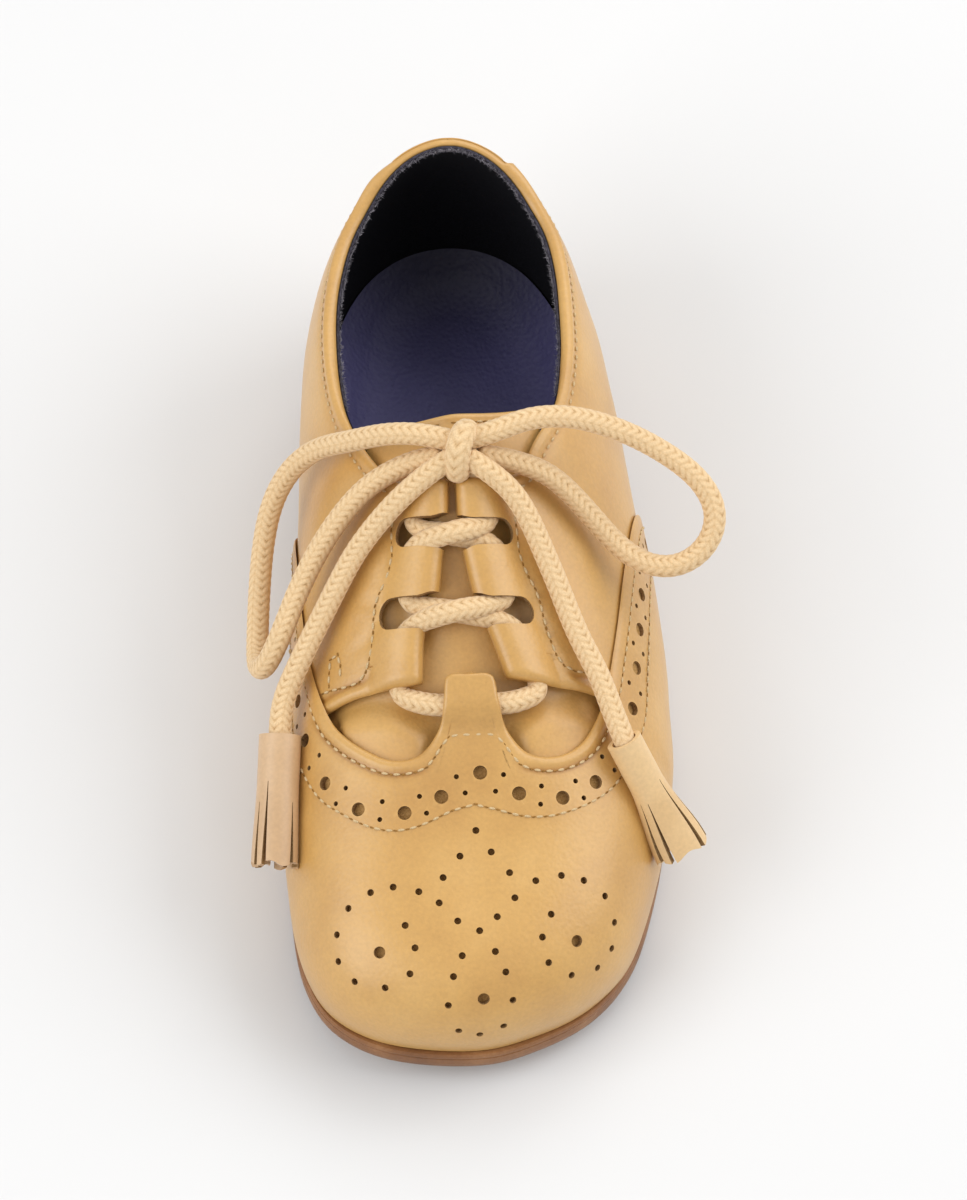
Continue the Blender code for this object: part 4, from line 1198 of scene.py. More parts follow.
class BrogueSizes(bpy.types.PropertyGroup):
    """Sizes that a maker would change, in millimetres."""

    wing_thickness: length_setting("Wing", "Thickness of the wing's leather", 1.2)
    big_hole: length_setting("Band hole", "Large hole of the brogue band", 2.2)
    medallion_hole: length_setting("Medallion hole", "Hole of the medallion", 1.1)
    pin_hole: length_setting("Pin hole", "Small hole of the brogue band", 0.8)
    stitch_pitch: length_setting("Stitch pitch", "Distance between stitches", 1.85)
    thread: length_setting("Thread", "Thickness of the thread", 0.46)
    lace: length_setting("Lace", "Diameter of the lace", 3.4)


class BrogueColours(bpy.types.PropertyGroup):
    """Colours that a maker would change."""

    leather: colour_setting("Leather", "Dyed calf", "#c99b54")
    leather_dark: colour_setting("Leather shade", "Dye in folds and seams", "#b48545")
    leather_light: colour_setting("Leather light", "Dye where it is thin", "#d6ac69")
    raw_edge: colour_setting("Raw edge", "Cut edge of the leather", "#b99668")
    cord: colour_setting("Lace", "Braided cotton", "#d6b384")
    thread: colour_setting("Thread", "Sewing thread", "#dfc89d")
    navy: colour_setting("Insole", "Navy insole leather", "#504d7c")
    sole: colour_setting("Sole", "Stained sole leather", "#88592f")
    floor: colour_setting("Floor", "Studio floor", "#dedede")


def shared(name, make, *tones, **details):
    """A material that several pieces share, made once."""
    return bpy.data.materials.get(name) or make(name, *tones, **details)


def dyes(context):
    """Dark, base and light dye of the calf."""
    colours = context.scene.brogue_colours
    return colours.leather_dark, colours.leather, colours.leather_light


def shoe_leather(context):
    """The dyed calf of wing, quarters and strap."""
    # Deep colour of the painted shade in stitched grooves, and of the darker leather round the brogue band
    deep = linear("#a26c24")
    return shared("dyed_calf", calf_leather, *dyes(context), roughness=0.42, relief=0.11, deep=deep)


def tassel_leather(side):
    """Paler, drier calf of a tassel, darker on the inner side as painted shade and lighter on the outer side
    as painted light.
    """
    tones = [linear(tone) for tone in TASSEL_LIT_AND_SHADED_TONES[side]]
    return calf_leather(f"pale_tassel_calf_painted_light_{SIDE_NAMES[side]}", *tones, roughness=0.55)


def raw_leather(context):
    """Cut edges of the leather."""
    light = context.scene.brogue_colours.raw_edge
    return shared("raw_leather_edge", fibrous, linear("#6b4a26"), light, fibre=0.25, roughness=0.9)


def add_stitches(name, bm, slot, context):
    """Piece for finished rows of stitches: thread, and dark pits of painted shade where the needle went
    through.
    """
    colours = context.scene.brogue_colours
    thread = shared("linen_thread", fibrous, linear("#b79a6e"), colours.thread, fibre=0.2, roughness=0.75)
    # Dark discs of painted shade in the needle holes
    pits = shared("needle_pits", fibrous, linear("#63451f"), colours.leather_dark, fibre=0.3, roughness=0.9)
    add_piece(name, finished_mesh(name, bm), slot, thread, pits)


class BROGUE_OT_stage(bpy.types.Operator):
    """Floor, soft studio light and camera"""

    bl_idname = "brogue.stage"
    bl_label = "Stage"

    def execute(self, context):
        colours = context.scene.brogue_colours
        bm = bmesh.new()
        bmesh.ops.create_grid(bm, x_segments=2, y_segments=2, size=3.0)
        floor = bpy.data.objects.new("studio_floor", finished_mesh("studio_floor", bm))
        context.scene.collection.objects.link(floor)
        paper, tree, shader, place = blank("seamless_paper")
        tooth = noise(tree, place, size=1.2, detail=2.0)
        fill_inputs(tree, shader, {
            "Normal": bumped(tree, tooth, strength=0.05, depth=0.02),
            "Base Color": colours.floor,
            "Roughness": 0.9,
        })
        floor.data.materials.append(paper)

        world = bpy.data.worlds.new("studio")
        world.use_nodes = True
        world.node_tree.nodes["Background"].inputs["Color"].default_value = (1.0, 1.0, 1.0, 1.0)
        world.node_tree.nodes["Background"].inputs["Strength"].default_value = 0.62
        context.scene.world = world
        context.scene.view_settings.view_transform = "Standard"

        lamps = table(
            "x y z size power",
            (0.85, 0.1, 0.75, 0.9, 6.7),
            (-0.85, -0.4, 0.7, 0.9, 7.2),
            (0.25, 0.8, 0.95, 0.8, 4.0),
        )
        lit_height = 0.03
        for i, (x, y, z, size, power) in enumerate(zip(*lamps.values())):
            light = bpy.data.lights.new(f"softbox_{i + 1}", "AREA")
            light.energy = power
            light.size = size
            lamp = bpy.data.objects.new(light.name, light)
            lamp.location = (x, y, z)
            lamp.rotation_euler = Vector((-x, -y, lit_height - z)).to_track_quat("-Z", "Y").to_euler()
            context.scene.collection.objects.link(lamp)

        azimuth, elevation, distance = np.radians(-2.0), np.radians(60.0), 1.0
        level = np.cos(elevation)
        back = Vector((np.sin(azimuth) * level, -np.cos(azimuth) * level, np.sin(elevation)))
        target = Vector((0.0016, -0.0003, 0.0235))
        lens = bpy.data.cameras.new("camera")
        lens.sensor_fit = "VERTICAL"
        lens.sensor_height = 24.0
        frame_height = 0.190
        lens.lens = lens.sensor_height * distance / frame_height
        camera = bpy.data.objects.new("camera", lens)
        camera.location = target + back * distance
        camera.rotation_euler = back.to_track_quat("Z", "Y").to_euler()
        context.scene.collection.objects.link(camera)
        context.scene.camera = camera
        return {"FINISHED"}


class BROGUE_OT_wing(bpy.types.Operator):
    """Toe and vamp wing with its folded rim, tab, brogue band and medallion"""

    bl_idname = "brogue.wing"
    bl_label = "Wing"

    def execute(self, context):
        sizes = context.scene.brogue_sizes
        edge, foot = whole_wing(count=130)
        out, station = np.abs(edge[:, 0]), edge[:, 1]
        tuck = between(station, *TUCK_STATION) * (out < TUCK_HALF)
        width = 1 - NARROWING * between(out, *NARROW_OUT)
        plain = np.maximum(between(out, *PLAIN_OUT), between(station, *PLAIN_STATION) * (out > PLAIN_SIDE))
        pinch = TAB_PINCH * between(station, *PINCH_STATION) * (out < PINCH_HALF)
        pattern, height, shade = panel(
            edge, foot, width, plain, sizes.wing_thickness, GAP, rows=46, under_rows=16, pinch=pinch)
        # Darker, more saturated leather round the brogue band's holes, carried in the same stored value as
        # the painted shade
        band = np.array((BAND_CENTRE,) + BAND[MEDIAL] + BAND[LATERAL])
        away = np.linalg.norm(pattern[:, :, None] - band, axis=3).min(axis=2)
        shade += BAND_SHADE * hump(away, 0.0, BAND_REACH)
        under = np.zeros_like(height)
        under[:TUCK_ROWS] = (1 - RIM["height"][:TUCK_ROWS] / RIM["height"][RIM_CROWN])[:, None] * tuck
        under[-1] = tuck
        outside = height > GAP + OUTSIDE_LEVEL
        height = wing_level(pattern, height) + tab_lift(pattern) - under * TUCK_DEPTH
        height = height + (soft_waves(pattern, WAVES) - creased(pattern, WING_CREASES)) * outside
        places, _ = laid(pattern, height)
        mesh = grid_mesh("vamp_wing_panel", places, shade=shade * SEAM_SHADE)
        cutters = punches(*brogue_holes(sizes), depth=5.0, sides=18)
        mesh = cut_out(mesh, cutters, shoe_leather(context), raw_leather(context))
        add_piece("vamp_wing_panel", mesh, "leather", replaces=("vamp_wing",))

        shares = np.linspace(0, 1, BACKING_ROWS)[:, None, None]
        start = edge + inward(edge, foot) * (BACKING_INSET * width)[:, None]
        backing = start[None] * (1 - shares) + foot[None] * shares
        mesh = sheet("vamp_backing", backing, wing_level(backing, GAP) + BACKING_TOP, BACKING_FLOOR)
        tones = linear("#9c753f"), linear("#c9a068")
        suede = fibrous("brown_backing_suede", *tones, fibre=0.3, roughness=0.9)
        add_piece("vamp_backing", mesh, "leather", suede)

        bm = bmesh.new()
        level = GAP + sizes.wing_thickness
        for side in SIDE_NAMES:
            path, foot = wing_path(side, count=400)
            line = path + inward(path, foot) * RIM_STITCH
            start = int(np.argmax(path[:, 1] < TAB_ROOT - WING_SEAM_START))
            line = line[start + WING_SEAM_SKIP:-WING_SEAM_LEFT:WING_SEAM_STEP]
            route = np.vstack([(0.0, TAB_ROOT), (side * ROOT_SEAM, TAB_ROOT), line])
            for points, thread in ((route, UPPER_THREAD), (LOWER_STITCH[side], LOWER_THREAD)):
                stitch_line(bm, points, lambda places, rise=thread: wing_level(places, level) + rise, sizes)
        add_stitches("vamp_wing_stitches", bm, "leather", context)
        return {"FINISHED"}


class BROGUE_OT_quarters(bpy.types.Operator):
    """Quarters with their folded lace loops, slots, collar rim and stitching"""

    bl_idname = "brogue.quarters"
    bl_label = "Quarters"

    def execute(self, context):
        sizes = context.scene.brogue_sizes
        bm = bmesh.new()
        for side, side_name in SIDE_NAMES.items():
            edge, foot, along, knots = quarter_path(side, count=300)
            out = np.abs(edge[:, 0])
            low = between(out, *FOLD_LOW) * (along < knots[2])
            top = between(out, *FOLD_TOP) * (along >= knots[2]) * (along < FOLD_END)

            def under(points):
                return loop_lift(points, side)

            under_rows = 40
            pattern, height, shade = panel(
                edge, foot, np.ones(len(edge)), np.maximum(low, top), LEATHER, -LEATHER, rows=44,
                under_rows=under_rows, under=under, corner=6.0)
            face = pattern[:-under_rows]
            rise = np.clip((height[:-under_rows] + LEATHER) / LEATHER, 0, 1)
            down = np.linalg.norm(face - edge[None], axis=2)
            height[:-under_rows] += (loop_lift(face, side) + collar_pad(edge[None], down)) * rise
            uneven = soft_waves(face, WAVES) - creased(face, QUARTER_CREASES)
            height[:-under_rows] += uneven * (rise > SKIN_RISE)
            shade = shade * np.where(along < knots[2], SEAM_SHADE, COLLAR_SHADE)
            places, _ = laid(pattern, height)
            mesh = grid_mesh(f"quarter_{side_name}", places, shade=shade)
            cut_bm = bmesh.new()
            for outer_end, inner_end, half in SLOTS[side]:
                mouth = abs(np.interp(outer_end[1], *np.array(LOOP_FOLDS[side]).T[::-1]) - outer_end[0])
                slot_cutter(cut_bm, outer_end, inner_end, half, mouth, -SLOT_DEPTH, SLOT_DEPTH)
            bmesh.ops.recalc_face_normals(cut_bm, faces=cut_bm.faces)
            cutter = finished_mesh("slots", cut_bm)
            mesh = cut_out(mesh, cutter, shoe_leather(context), raw_leather(context))
            nodes = tuple(f"lace_loop_{side_name}_{i}" for i in (1, 2, 3))
            if side == MEDIAL:
                nodes += ("upper",)
            add_piece(f"quarter_{side_name}", mesh, "leather", replaces=nodes)

            def collar_thread(points):
                return collar_pad(points, RIM_STITCH) + COLLAR_THREAD

            stitch_line(bm, QUARTER_STITCH[side], lambda points: QUARTER_THREAD + under(points), sizes)
            line = edge + inward(edge, foot) * RIM_STITCH
            route = line[along > knots[2] + COLLAR_SEAM_START][:-COLLAR_SEAM_LEFT:COLLAR_SEAM_STEP]
            stitch_line(bm, route, collar_thread, sizes, holes=False)
        stitch_line(bm, BAR_TACK, QUARTER_THREAD, sizes)
        add_stitches("quarter_stitches", bm, "leather", context)
        return {"FINISHED"}


class BROGUE_OT_tongue(bpy.types.Operator):
    """Tongue that swells in the windows under the scallops"""

    bl_idname = "brogue.tongue"
    bl_label = "Tongue"

    @staticmethod
    def swept(pattern):
        """Tongue's pattern with its top leaning to the inner side and its sides reaching back."""
        top = between(pattern[..., 1], *TONGUE_LEAN)
        reach = np.where(pattern[..., 0] < 0, TONGUE_SWEEP[MEDIAL], TONGUE_SWEEP[LATERAL])
        back = reach * (pattern[..., 0] / TONGUE_SWEEP_REACH) ** 2
        return pattern + np.stack([TONGUE_SHIFT * top, back * top], -1)

    def execute(self, context):
        sizes = context.scene.brogue_sizes
        rows, columns = 110, 70
        shares = bordered(*TONGUE_SHARES, rows - 2)
        stations = TONGUE["station"][0] + shares * np.ptp(TONGUE["station"])
        breadth = read(TONGUE, "breadth", stations)
        across = bordered(*TONGUE_ACROSS, columns - 2, start=-1)
        pattern = np.stack([breadth[:, None] * across, np.repeat(stations[:, None], columns, 1)], -1)
        from_top = stations[-1] - pattern[..., 1]
        pattern = self.swept(pattern)
        x, y = np.abs(pattern[..., 0]), pattern[..., 1]
        low, high = [np.interp(x, WINDOW["out"], WINDOW[name]) for name in ("low", "high")]
        swell = WINDOW_SWELL * between(x, *SWELL_OUT)
        swell = swell * between(y - low, *SWELL_LOW) * between(y - high, *SWELL_HIGH)
        middle = MIDDLE_RISE * hump(x, 0.0, MIDDLE_HALF) * between(y, *MIDDLE_STATION)
        hollow = HOLLOW_DEPTH * hump(x, HOLLOW_OUT, HOLLOW_HALF)
        hollow = hollow * between(y, *HOLLOW_FRONT) * between(y, *HOLLOW_BACK)
        top = TONGUE_DROP + swell + middle - hollow
        inner = top - TONGUE_THICKNESS - swell * SWELL_BELOW
        mesh = sheet("tongue_leather", pattern, top + rolled(from_top, TONGUE_ROLL), inner)
        calf = calf_leather("tongue_calf", *dyes(context), roughness=0.5, relief=0.11)
        add_piece("tongue_leather", mesh, "tongue_leather", calf, replaces=("tongue",))

        def thread_level(points):
            return TONGUE_DROP + MIDDLE_RISE * hump(points[:, 0], 0.0, MIDDLE_HALF)

        bm = bmesh.new()
        for side in SIDE_NAMES:
            row_x = side * np.linspace(*TONGUE_SEAM, TONGUE_SEAM_POINTS)
            row = np.column_stack([row_x, np.full(TONGUE_SEAM_POINTS, stations[-1] - TONGUE_SEAM_DROP)])
            stitch_line(bm, self.swept(row), thread_level, sizes)
        add_stitches("tongue_stitches", bm, "tongue_leather", context)
        return {"FINISHED"}


class BROGUE_OT_lining(bpy.types.Operator):
    """Dark felt lining and navy insole"""

    bl_idname = "brogue.lining"
    bl_label = "Lining and insole"

    def execute(self, context):
        colours = context.scene.brogue_colours
        count, back_count = 40, 90
        edges, feet = [], []
        for side in (LATERAL, MEDIAL):
            front = spaced(round_curve(LINING_FRONT), count)
            flank = spaced(round_curve(LINING_SIDE), count)
            back = spaced(round_curve(collar_line(side)), back_count)
            path = np.vstack([front, flank[1:], back])
            path[:, 0] *= side
            share = np.maximum.accumulate(find_ribs(path[count - 1:], side)[0])
            share = np.r_[share[0] * np.linspace(0, 1, count)[:-1], share]
            share[-1] = 1.0
            edges.append(path)
            feet.append(foot_pattern(share, side))
        edge, foot = joined(*edges), joined(*feet)
        down = unit(foot - edge)
        edge = edge + down * LINING_DROP
        shares = bordered(*LINING_SHARES, count=26)[:, None, None]
        pattern = edge[None] * (1 - shares) + foot[None] * shares
        mesh = sheet("felt_lining", pattern, -LEATHER + LINING_OUTER, -LEATHER + LINING_INNER, ring=True)
        felt = fibrous("navy_felt", linear("#050507"), linear("#14131a"), fibre=0.35, roughness=0.95)
        add_piece("felt_lining", mesh, "insole", felt)

        brim, drop = [rows[FELT_SPAN:len(edge) - FELT_SPAN] for rows in (edge, down)]
        depths, bulge = FELT_EDGE["depth"][:, None], FELT_EDGE["bulge"][:, None]
        pattern = brim[None] + drop[None] * (depths - LINING_DROP)[..., None]
        level = -LEATHER + FELT_OUTER
        mesh = sheet("felt_edge", pattern, level, level - bulge)
        grey = fibrous("frayed_felt", linear("#0f0e13"), linear("#56525d"), fibre=0.5, roughness=0.95)
        add_piece("felt_edge", mesh, "insole", grey)

        bm = bmesh.new()
        chance = np.random.default_rng(FIBRE_SEED)
        at = np.sort(chance.uniform(0, len(brim) - 1, FIBRE_COUNT))
        index = np.arange(len(brim))
        deep = chance.uniform(*FIBRE_ROOT, (FIBRE_COUNT, 1))
        root = sampled(at, index, brim) + sampled(at, index, drop) * deep
        places, normals = laid(root, -LEATHER - chance.uniform(*FIBRE_LEVEL, FIBRE_COUNT))
        for place, normal in zip(in_frame(places), normals):
            stray = Vector(chance.normal(0.0, FIBRE_SPREAD, 3))
            way = Vector(FIBRE_LEAN) - Vector(normal) * FIBRE_INWARD + stray
            length = chance.uniform(*FIBRE_LENGTH)
            turn = way.to_track_quat("Z", "Y").to_matrix().to_4x4()
            middle = Matrix.Translation(Vector(place) + way.normalized() * length * FIBRE_SHIFT * MM)
            bmesh.ops.create_cone(
                bm, cap_ends=True, segments=3, radius1=FIBRE_THICK * MM,
                radius2=FIBRE_THICK * FIBRE_TAPER * MM, depth=length * MM, matrix=middle @ turn)
        pale = fibrous("felt_fibres", linear("#47434e"), linear("#c9c4cc"), fibre=0.9, roughness=0.95)
        add_piece("felt_fibres", finished_mesh("felt_fibres", bm), "insole", pale)

        lower = [(WALL + distance, sole_top, rise) for distance, rise in CUP_FOOT]
        upper = [
            (WALL + distance, lambda y, level=level: sole_top(y) + INSOLE_TOP + level * self.cup(y), 0.0)
            for distance, level in zip(CUP_FLOOR["distance"], CUP_FLOOR["level"])
        ]
        outline = feather_line()
        steps = 120
        blocks = [rim_rings(outline, lower, steps), self.cup_rings(steps), rim_rings(outline, upper, steps)]
        mesh = slab("insole_sock", np.concatenate(blocks))
        places = np.zeros(len(mesh.vertices) * 3)
        mesh.vertices.foreach_get("co", places)
        stations = places[1::3] / MM - SHIFT[1]
        shades = HEEL_SHADE * between(stations, *HEEL_SHADE_STATION)
        shades += FRONT_SHADE * between(stations, *FRONT_SHADE_STATION)
        mesh.attributes.new("shade", "FLOAT", "POINT").data.foreach_set("value", shades)
        tones = linear("#484571"), colours.navy, linear("#595584")
        grained = calf_leather(
            "navy_grained_leather", *tones, roughness=0.6, grain=0.7, relief=0.26, deep=linear("#0c0a14"),
            coat=0.0)
        add_piece("insole_sock", mesh, "insole", grained, replaces=("insole",))
        return {"FINISHED"}

    @staticmethod
    def cup(y):
        """Height that the insole gains along its edge round the heel."""
        return INSOLE_CUP * between(y, *CUP_STATION)

    def cup_rings(self, steps):
        """Rings of the insole's edge where it lies against the lining."""
        shares = even_shares(steps)
        rings = []
        for level, height in zip(CUP_EDGE["level"], CUP_EDGE["height"]):
            halves = []
            for side in (LATERAL, MEDIAL):
                foot = foot_pattern(shares, side)
                ridge = np.stack([np.zeros_like(shares), ridge_station(shares)], 1)
                climb = level * (INSOLE_TOP - FEATHER_LIFT + self.cup(feather_point(shares, side)[1]))
                halves.append(laid(foot + unit(ridge - foot) * climb[:, None], height)[0])
            rings.append(joined(*halves))
        return np.array(rings)


class BROGUE_OT_strap(bpy.types.Operator):
    """Back strap over the heel seam"""

    bl_idname = "brogue.strap"
    bl_label = "Back strap"

    def execute(self, context):
        sizes = context.scene.brogue_sizes
        columns, rows = 60, 50
        tops, feet = [], []
        for side in (LATERAL, MEDIAL):
            path = spaced(round_curve(mirrored(collar_line(side), side)), count=300)
            share = np.maximum.accumulate(find_ribs(path, side)[0])
            share[-1] = 1.0
            wanted = np.linspace(STRAP_START, 1, columns)
            tops.append(sampled(wanted, share, path))
            feet.append(foot_pattern(wanted, side))
        edge, foot = joined(*tops), joined(*feet)
        shares = bordered(*STRAP_SHARES, rows - 2)[:, None, None]
        start = edge + unit(foot - edge) * STRAP_DROP
        pattern = start[None] * (1 - shares) + foot[None] * shares
        near = np.minimum(lengths(start), lengths(start)[-1] - lengths(start))[None, :]
        outer = np.maximum(STRAP_RISE * ease(near / STRAP_RIM) + rolled(near, STRAP_ROLL), STRAP_LEAST)
        # Painted shade in the groove along the strap's edge
        shade = STRAP_SHADE * hump(near, STRAP_ROLL["distance"][1], STRAP_ROLL["half"][1])
        mesh = sheet("back_strap_leather", pattern, outer + STRAP_GAP, STRAP_GAP, shade)
        add_piece("back_strap_leather", mesh, "leather", shoe_leather(context), replaces=("back_strap",))
        bm = bmesh.new()
        for distance in STRAP_SEAMS:
            column = int(np.searchsorted(lengths(start), distance))
            for place in (column, -1 - column):
                stitch_line(bm, pattern[STRAP_SEAM_ROWS, place], STRAP_THREAD, sizes)
        add_stitches("back_strap_stitches", bm, "leather", context)
        return {"FINISHED"}


def even_shares(steps, start=0.0):
    """Shares of an outline from a start on, closer together toward both ends."""
    even = np.linspace(0, 1, steps)
    return start + (1 - start) * (even + (1 - np.cos(np.pi * even)) / 2) / 2


def rim_rings(outline, profile, steps, start=0.0):
    """Rings of an outline from a share on, out one side and back the other.

    Each row of the profile is an inset, a height along the shoe and a rise over it.
    """
    shares = even_shares(steps, start)
    rings = []
    for distance, height, rise in profile:
        halves = half_loops(inset(outline, distance))
        path = joined(*(sampled(shares, *halves[side]) for side in (LATERAL, MEDIAL)))
        rings.append(np.column_stack([path, height(path[:, 1]) + rise]))
    return np.array(rings)


def slab(name, rings):
    """Closed slab from its edge rings, with its faces and its straight front ruled across."""
    half = (rings.shape[1] + 1) // 2
    across = np.linspace(0, 1, RULED_ROWS)[:, None, None]
    outs, backs = rings[:, :half], rings[:, half - 1:][:, ::-1]
    blocks = [rings]
    for out, back in ((outs[0], backs[0]), (outs[-1], backs[-1])):
        blocks.append(out[None] * (1 - across) + back[None] * across)
    if np.ptp(rings[0, [0, -1]], axis=0).max() > 0:
        blocks.append(outs[None, :, 0] * (1 - across) + backs[None, :, 0] * across)
    bm = bmesh.new()
    for block in blocks:
        add_grid(bm, in_frame(block))
    bmesh.ops.remove_doubles(bm, verts=bm.verts, dist=WELD)
    face_out(bm)
    mesh = finished_mesh(name, bm)
    mesh.set_sharp_from_angle(angle=SLAB_ANGLE)
    return mesh


class BROGUE_OT_sole(bpy.types.Operator):
    """Stained leather outsole and heel block"""

    bl_idname = "brogue.sole"
    bl_label = "Sole and heel"

    def execute(self, context):
        colours = context.scene.brogue_colours
        stained = sole_leather("stained_sole_leather", linear("#613a1c"), colours.sole, linear("#a9794c"))
        outline = sole_outline()
        sole_profile = (
            (1.0, underside, 0.0),
            (0.35, underside, 0.12),
            (0.0, underside, 0.6),
            (-0.08, underside, 1.7),
            (0.0, underside, 2.7),
            (0.28, underside, 2.85),
            (0.05, underside, 3.0),
            (0.05, sole_top, -0.45),
            (0.3, sole_top, -0.1),
            (0.8, sole_top, 0.0),
        )
        mesh = slab("sole_slab", rim_rings(outline, sole_profile, steps=120))
        add_piece("sole_slab", mesh, "sole", stained, replaces=("outsole",))
        heel_profile = (
            (1.4, np.zeros_like, 0.0),
            (0.9, np.zeros_like, 0.25),
            (0.6, np.zeros_like, 1.8),
            (0.85, np.zeros_like, 1.95),
            (0.6, np.zeros_like, 2.1),
            (0.55, underside, -0.5),
            (0.7, underside, -0.05),
        )
        mesh = slab("heel_block", rim_rings(outline, heel_profile, steps=60, start=0.735))
        add_piece("heel_block", mesh, "sole", stained, replaces=("heel",))
        return {"FINISHED"}


def braided_tube(name, path, radius, girth=None):
    """Braided cord along a millimetre path on the last: strands in slanting columns, alternately leaning."""
    around, step = 56, 0.2
    total = lengths(path)[-1]
    count = int(total / step) + 2
    scale = np.ones(count)
    if girth is not None:
        scale = np.interp(np.linspace(0, 1, count), np.linspace(0, 1, len(girth)), girth)
    path = spaced(path, count)
    run = unit(np.gradient(path, axis=0))
    side = np.zeros_like(run)
    side[0] = unit(np.cross(run[0], (0.0, 0.0, 1.0)))
    for i in range(1, count):
        side[i] = unit(side[i - 1] - run[i] * (side[i - 1] @ run[i]))
    up = np.cross(run, side)
    angle = np.linspace(0, 2 * np.pi, around + 1)
    u = np.broadcast_to(angle / (2 * np.pi) * BRAID_COLUMNS, (count, around + 1))
    v = np.repeat(np.linspace(0, total, count)[:, None] / BRAID_PITCH, around + 1, 1)
    column = np.floor(u + ROUNDING)
    lean = np.where(column % 2 == 0, u - column, 1 - (u - column))
    gap = 1 - np.abs(np.cos(np.pi * (v + STRAND_LEAN * lean))) ** STRAND_ROUND
    gap = gap * (DIVE_DEPTH + (1 - DIVE_DEPTH) * hump(lean, 0.0, DIVE_HALF))
    bulge = np.clip(1 - gap - CREVICE_DEPTH * hump(lean, 1.0, CREVICE_HALF), 0, 1)
    size = (radius - BRAID_RELIEF + BRAID_RELIEF * BRAID_SWELL * bulge) * scale[:, None]
    ends = np.minimum(np.arange(count), np.arange(count)[::-1]) * step
    size = size * np.sqrt(np.clip(ends / CORD_END_LENGTH + CORD_END_LEAST, 0, 1))[:, None]
    ring = np.cos(angle)[None, :, None] * side[:, None] + np.sin(angle)[None, :, None] * up[:, None]
    places = path[:, None] + ring * size[..., None]
    uv = np.stack([u / BRAID_COLUMNS, v], -1)
    return grid_mesh(name, places, uv=uv, relief=bulge), path


class BROGUE_OT_lace(bpy.types.Operator):
    """Braided lace through tab and loops, tied in a bow"""

    bl_idname = "brogue.lace"
    bl_label = "Lace"

    def execute(self, context):
        colours = context.scene.brogue_colours
        radius = context.scene.brogue_sizes.lace / 2
        # Shaded, base and lit tones of the braid: painted shade in its crevices, painted highlight on its
        # crowns
        cotton = braided_cotton("waxed_cotton_braid", linear("#97723f"), colours.cord, linear("#e8cba0"))

        halves = []
        for side, level in ((MEDIAL, "over"), (LATERAL, "under")):
            axis = LACE_AXIS * between(LACE_RUN["station"], *LACE_AXIS_STATION)
            points = np.column_stack([axis + side * LACE_RUN["x"], LACE_RUN["station"]])
            halves.append(laid(points, LACE_RUN[level])[0])
        route = np.vstack([halves[0][:0:-1], halves[1]])
        girth = np.r_[LACE_RUN["girth"][:0:-1], LACE_RUN["girth"]]
        curve = round_curve(np.column_stack([route, girth * GIRTH_SCALE]))
        mesh, _ = braided_tube("threaded_lace", curve[:, :3], radius, curve[:, 3] / GIRTH_SCALE)
        nodes = ("lace_bar_medial", "lace_bar_lateral", "lace_cross_1", "lace_cross_2")
        add_piece("threaded_lace", mesh, "cord", cotton, replaces=nodes)

        mesh, _ = braided_tube("knot_wrap", round_curve(KNOT_WRAP), radius * KNOT_GIRTH)
        add_piece("knot_wrap", mesh, "cord", cotton, replaces=("lace_knot",))

        for side, side_name in SIDE_NAMES.items():
            name = f"bow_{side_name}_cord"
            mesh, path = braided_tube(name, relaxed(round_curve(BOWS[side]), CORD_EASE), radius)
            bow = add_piece(name, mesh, "cord", cotton, replaces=(f"lace_bow_{side_name}",))
            name = f"end_{side_name}_cord"
            mesh, path = braided_tube(name, relaxed(round_curve(ENDS[side]), CORD_EASE), radius)
            end = add_piece(name, mesh, "cord", cotton, replaces=(f"lace_end_{side_name}",))
            tassel = tassel_piece(side, context)
        return {"FINISHED"}


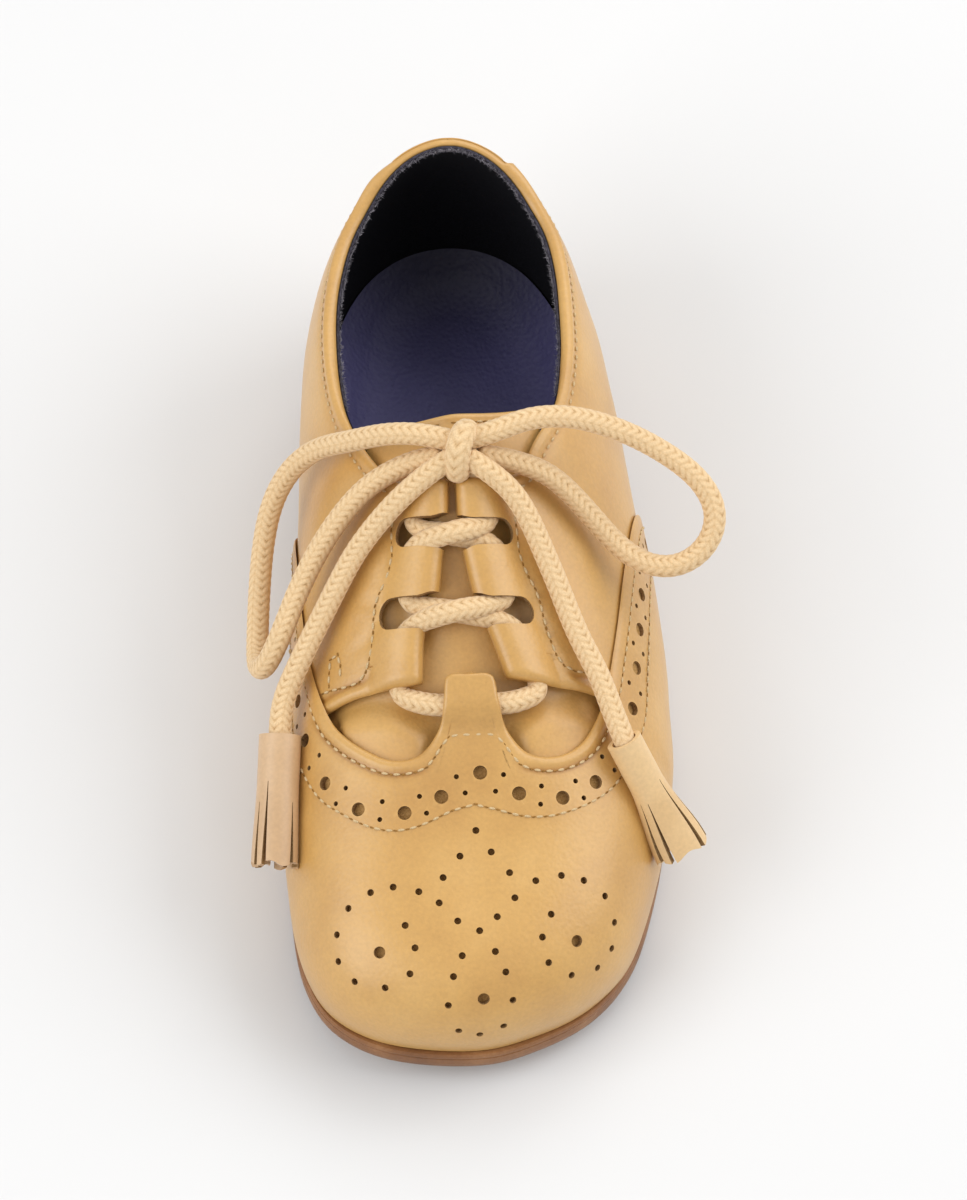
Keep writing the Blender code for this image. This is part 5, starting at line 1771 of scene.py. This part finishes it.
def tassel_piece(side, context):
    """Leather tassel rolled round a lace end, slit into strips."""
    shape = TASSELS[side]
    end = np.array(ENDS[side][-1])
    axis = np.array(shape["tip"]) - end
    length = np.linalg.norm(axis) + TASSEL_GRIP
    start = end - unit(axis) * TASSEL_GRIP
    around, rows = 96, 60
    angle = np.linspace(0, 2 * np.pi, around + 1)
    circle = np.stack([np.cos(angle), np.sin(angle)], -1)
    along = np.linspace(0, 1, rows)[:, None, None] * ROLL_LENGTH
    outer = np.concatenate([np.repeat(circle[None], rows, 0), np.repeat(along, around + 1, 1)], -1)
    inner = outer[::-1].copy()
    inner[..., :2] *= TASSEL_BORE
    bm = bmesh.new()
    add_grid(bm, np.concatenate([outer, inner, outer[:1]]))
    bmesh.ops.remove_doubles(bm, verts=bm.verts, dist=ROLL_WELD)
    bmesh.ops.recalc_face_normals(bm, faces=bm.faces)
    mesh = finished_mesh("tassel", bm)
    cut_bm = bmesh.new()
    for i in range(SLITS):
        step = i + SLIT_SCATTER * np.sin(SLIT_SCATTER_RATE * i)
        turn = Matrix.Rotation(2 * np.pi * step / SLITS + SLIT_TURN, 4, "Z")
        top = SLIT_TOP + SLIT_UNEVEN * np.sin(SLIT_UNEVEN_RATE * i + side)
        size = Matrix.Diagonal((SLIT_DEPTH, SLIT_BREADTH, SLIT_END - top, 1.0))
        place = turn @ Matrix.Translation((SLIT_OUT, 0.0, (top + SLIT_END) / 2)) @ size
        for vert in bmesh.ops.create_cube(cut_bm, size=1.0)["verts"]:
            vert.co.y *= 1 + SLIT_OPENING * (vert.co.z > 0)
            vert.co = place @ vert.co
    cutter = finished_mesh("slits", cut_bm)
    mesh = cut_out(mesh, cutter, tassel_leather(side), raw_leather(context))
    direction = Vector(axis).normalized()
    wide = direction.cross(Vector(TASSEL_FACING)).normalized()
    deep = direction.cross(wide).normalized()
    places = np.zeros(len(mesh.vertices) * 3)
    mesh.vertices.foreach_get("co", places)
    x, y, z = places.reshape(-1, 3).T
    share = z / ROLL_LENGTH
    flared = between(share, *TASSEL_FLARE)
    wide_mm = x * shape["breadth"] * (1 + (shape["flare"] - 1) * flared)
    deep_mm = y * shape["depth"] * (1 + (shape["fan"] - 1) * flared)
    ragged = RAGGED * np.sin(RAGGED_WAVES * np.arctan2(y, x) + side) * between(share, *TASSEL_RAGGED)
    moved = start + wide_mm[:, None] * np.array(wide) + deep_mm[:, None] * np.array(deep)
    moved = moved + ((share + ragged) * length)[:, None] * np.array(direction)
    mesh.vertices.foreach_set("co", in_frame(moved).ravel())
    mesh.update()
    name = f"tassel_{SIDE_NAMES[side]}_leather"
    mesh.name = name
    return add_piece(name, mesh, "leather", replaces=(f"tassel_{SIDE_NAMES[side]}",))


class BROGUE_PT_panel(bpy.types.Panel):
    """Steps of dressing the brogue"""

    bl_label = "Child's brogue"
    bl_idname = "BROGUE_PT_panel"
    bl_space_type = "VIEW_3D"
    bl_region_type = "UI"
    bl_category = "Brogue"

    def draw(self, context):
        for step in STEPS:
            self.layout.operator(step.bl_idname)
        for group in (context.scene.brogue_sizes, context.scene.brogue_colours):
            for name in group.__annotations__:
                self.layout.prop(group, name)


STEPS = (
    BROGUE_OT_stage,
    BROGUE_OT_lace,
    BROGUE_OT_sole,
    BROGUE_OT_lining,
    BROGUE_OT_tongue,
    BROGUE_OT_quarters,
    BROGUE_OT_wing,
    BROGUE_OT_strap,
)
CLASSES = (BrogueSizes, BrogueColours) + STEPS + (BROGUE_PT_panel,)


def register():
    """Adds the classes and their settings."""
    for item in CLASSES:
        bpy.utils.register_class(item)
    bpy.types.Scene.brogue_sizes = bpy.props.PointerProperty(type=BrogueSizes)
    bpy.types.Scene.brogue_colours = bpy.props.PointerProperty(type=BrogueColours)


def unregister():
    """Removes the classes and their settings."""
    del bpy.types.Scene.brogue_colours
    del bpy.types.Scene.brogue_sizes
    for item in reversed(CLASSES):
        bpy.utils.unregister_class(item)


def main():
    """Registers the steps and dresses the shoe."""
    register()
    bpy.ops.brogue.stage()
    bpy.ops.brogue.lace()
    bpy.ops.brogue.sole()
    bpy.ops.brogue.lining()
    bpy.ops.brogue.tongue()
    bpy.ops.brogue.quarters()
    bpy.ops.brogue.wing()
    bpy.ops.brogue.strap()


if __name__ == "__main__":
    main()
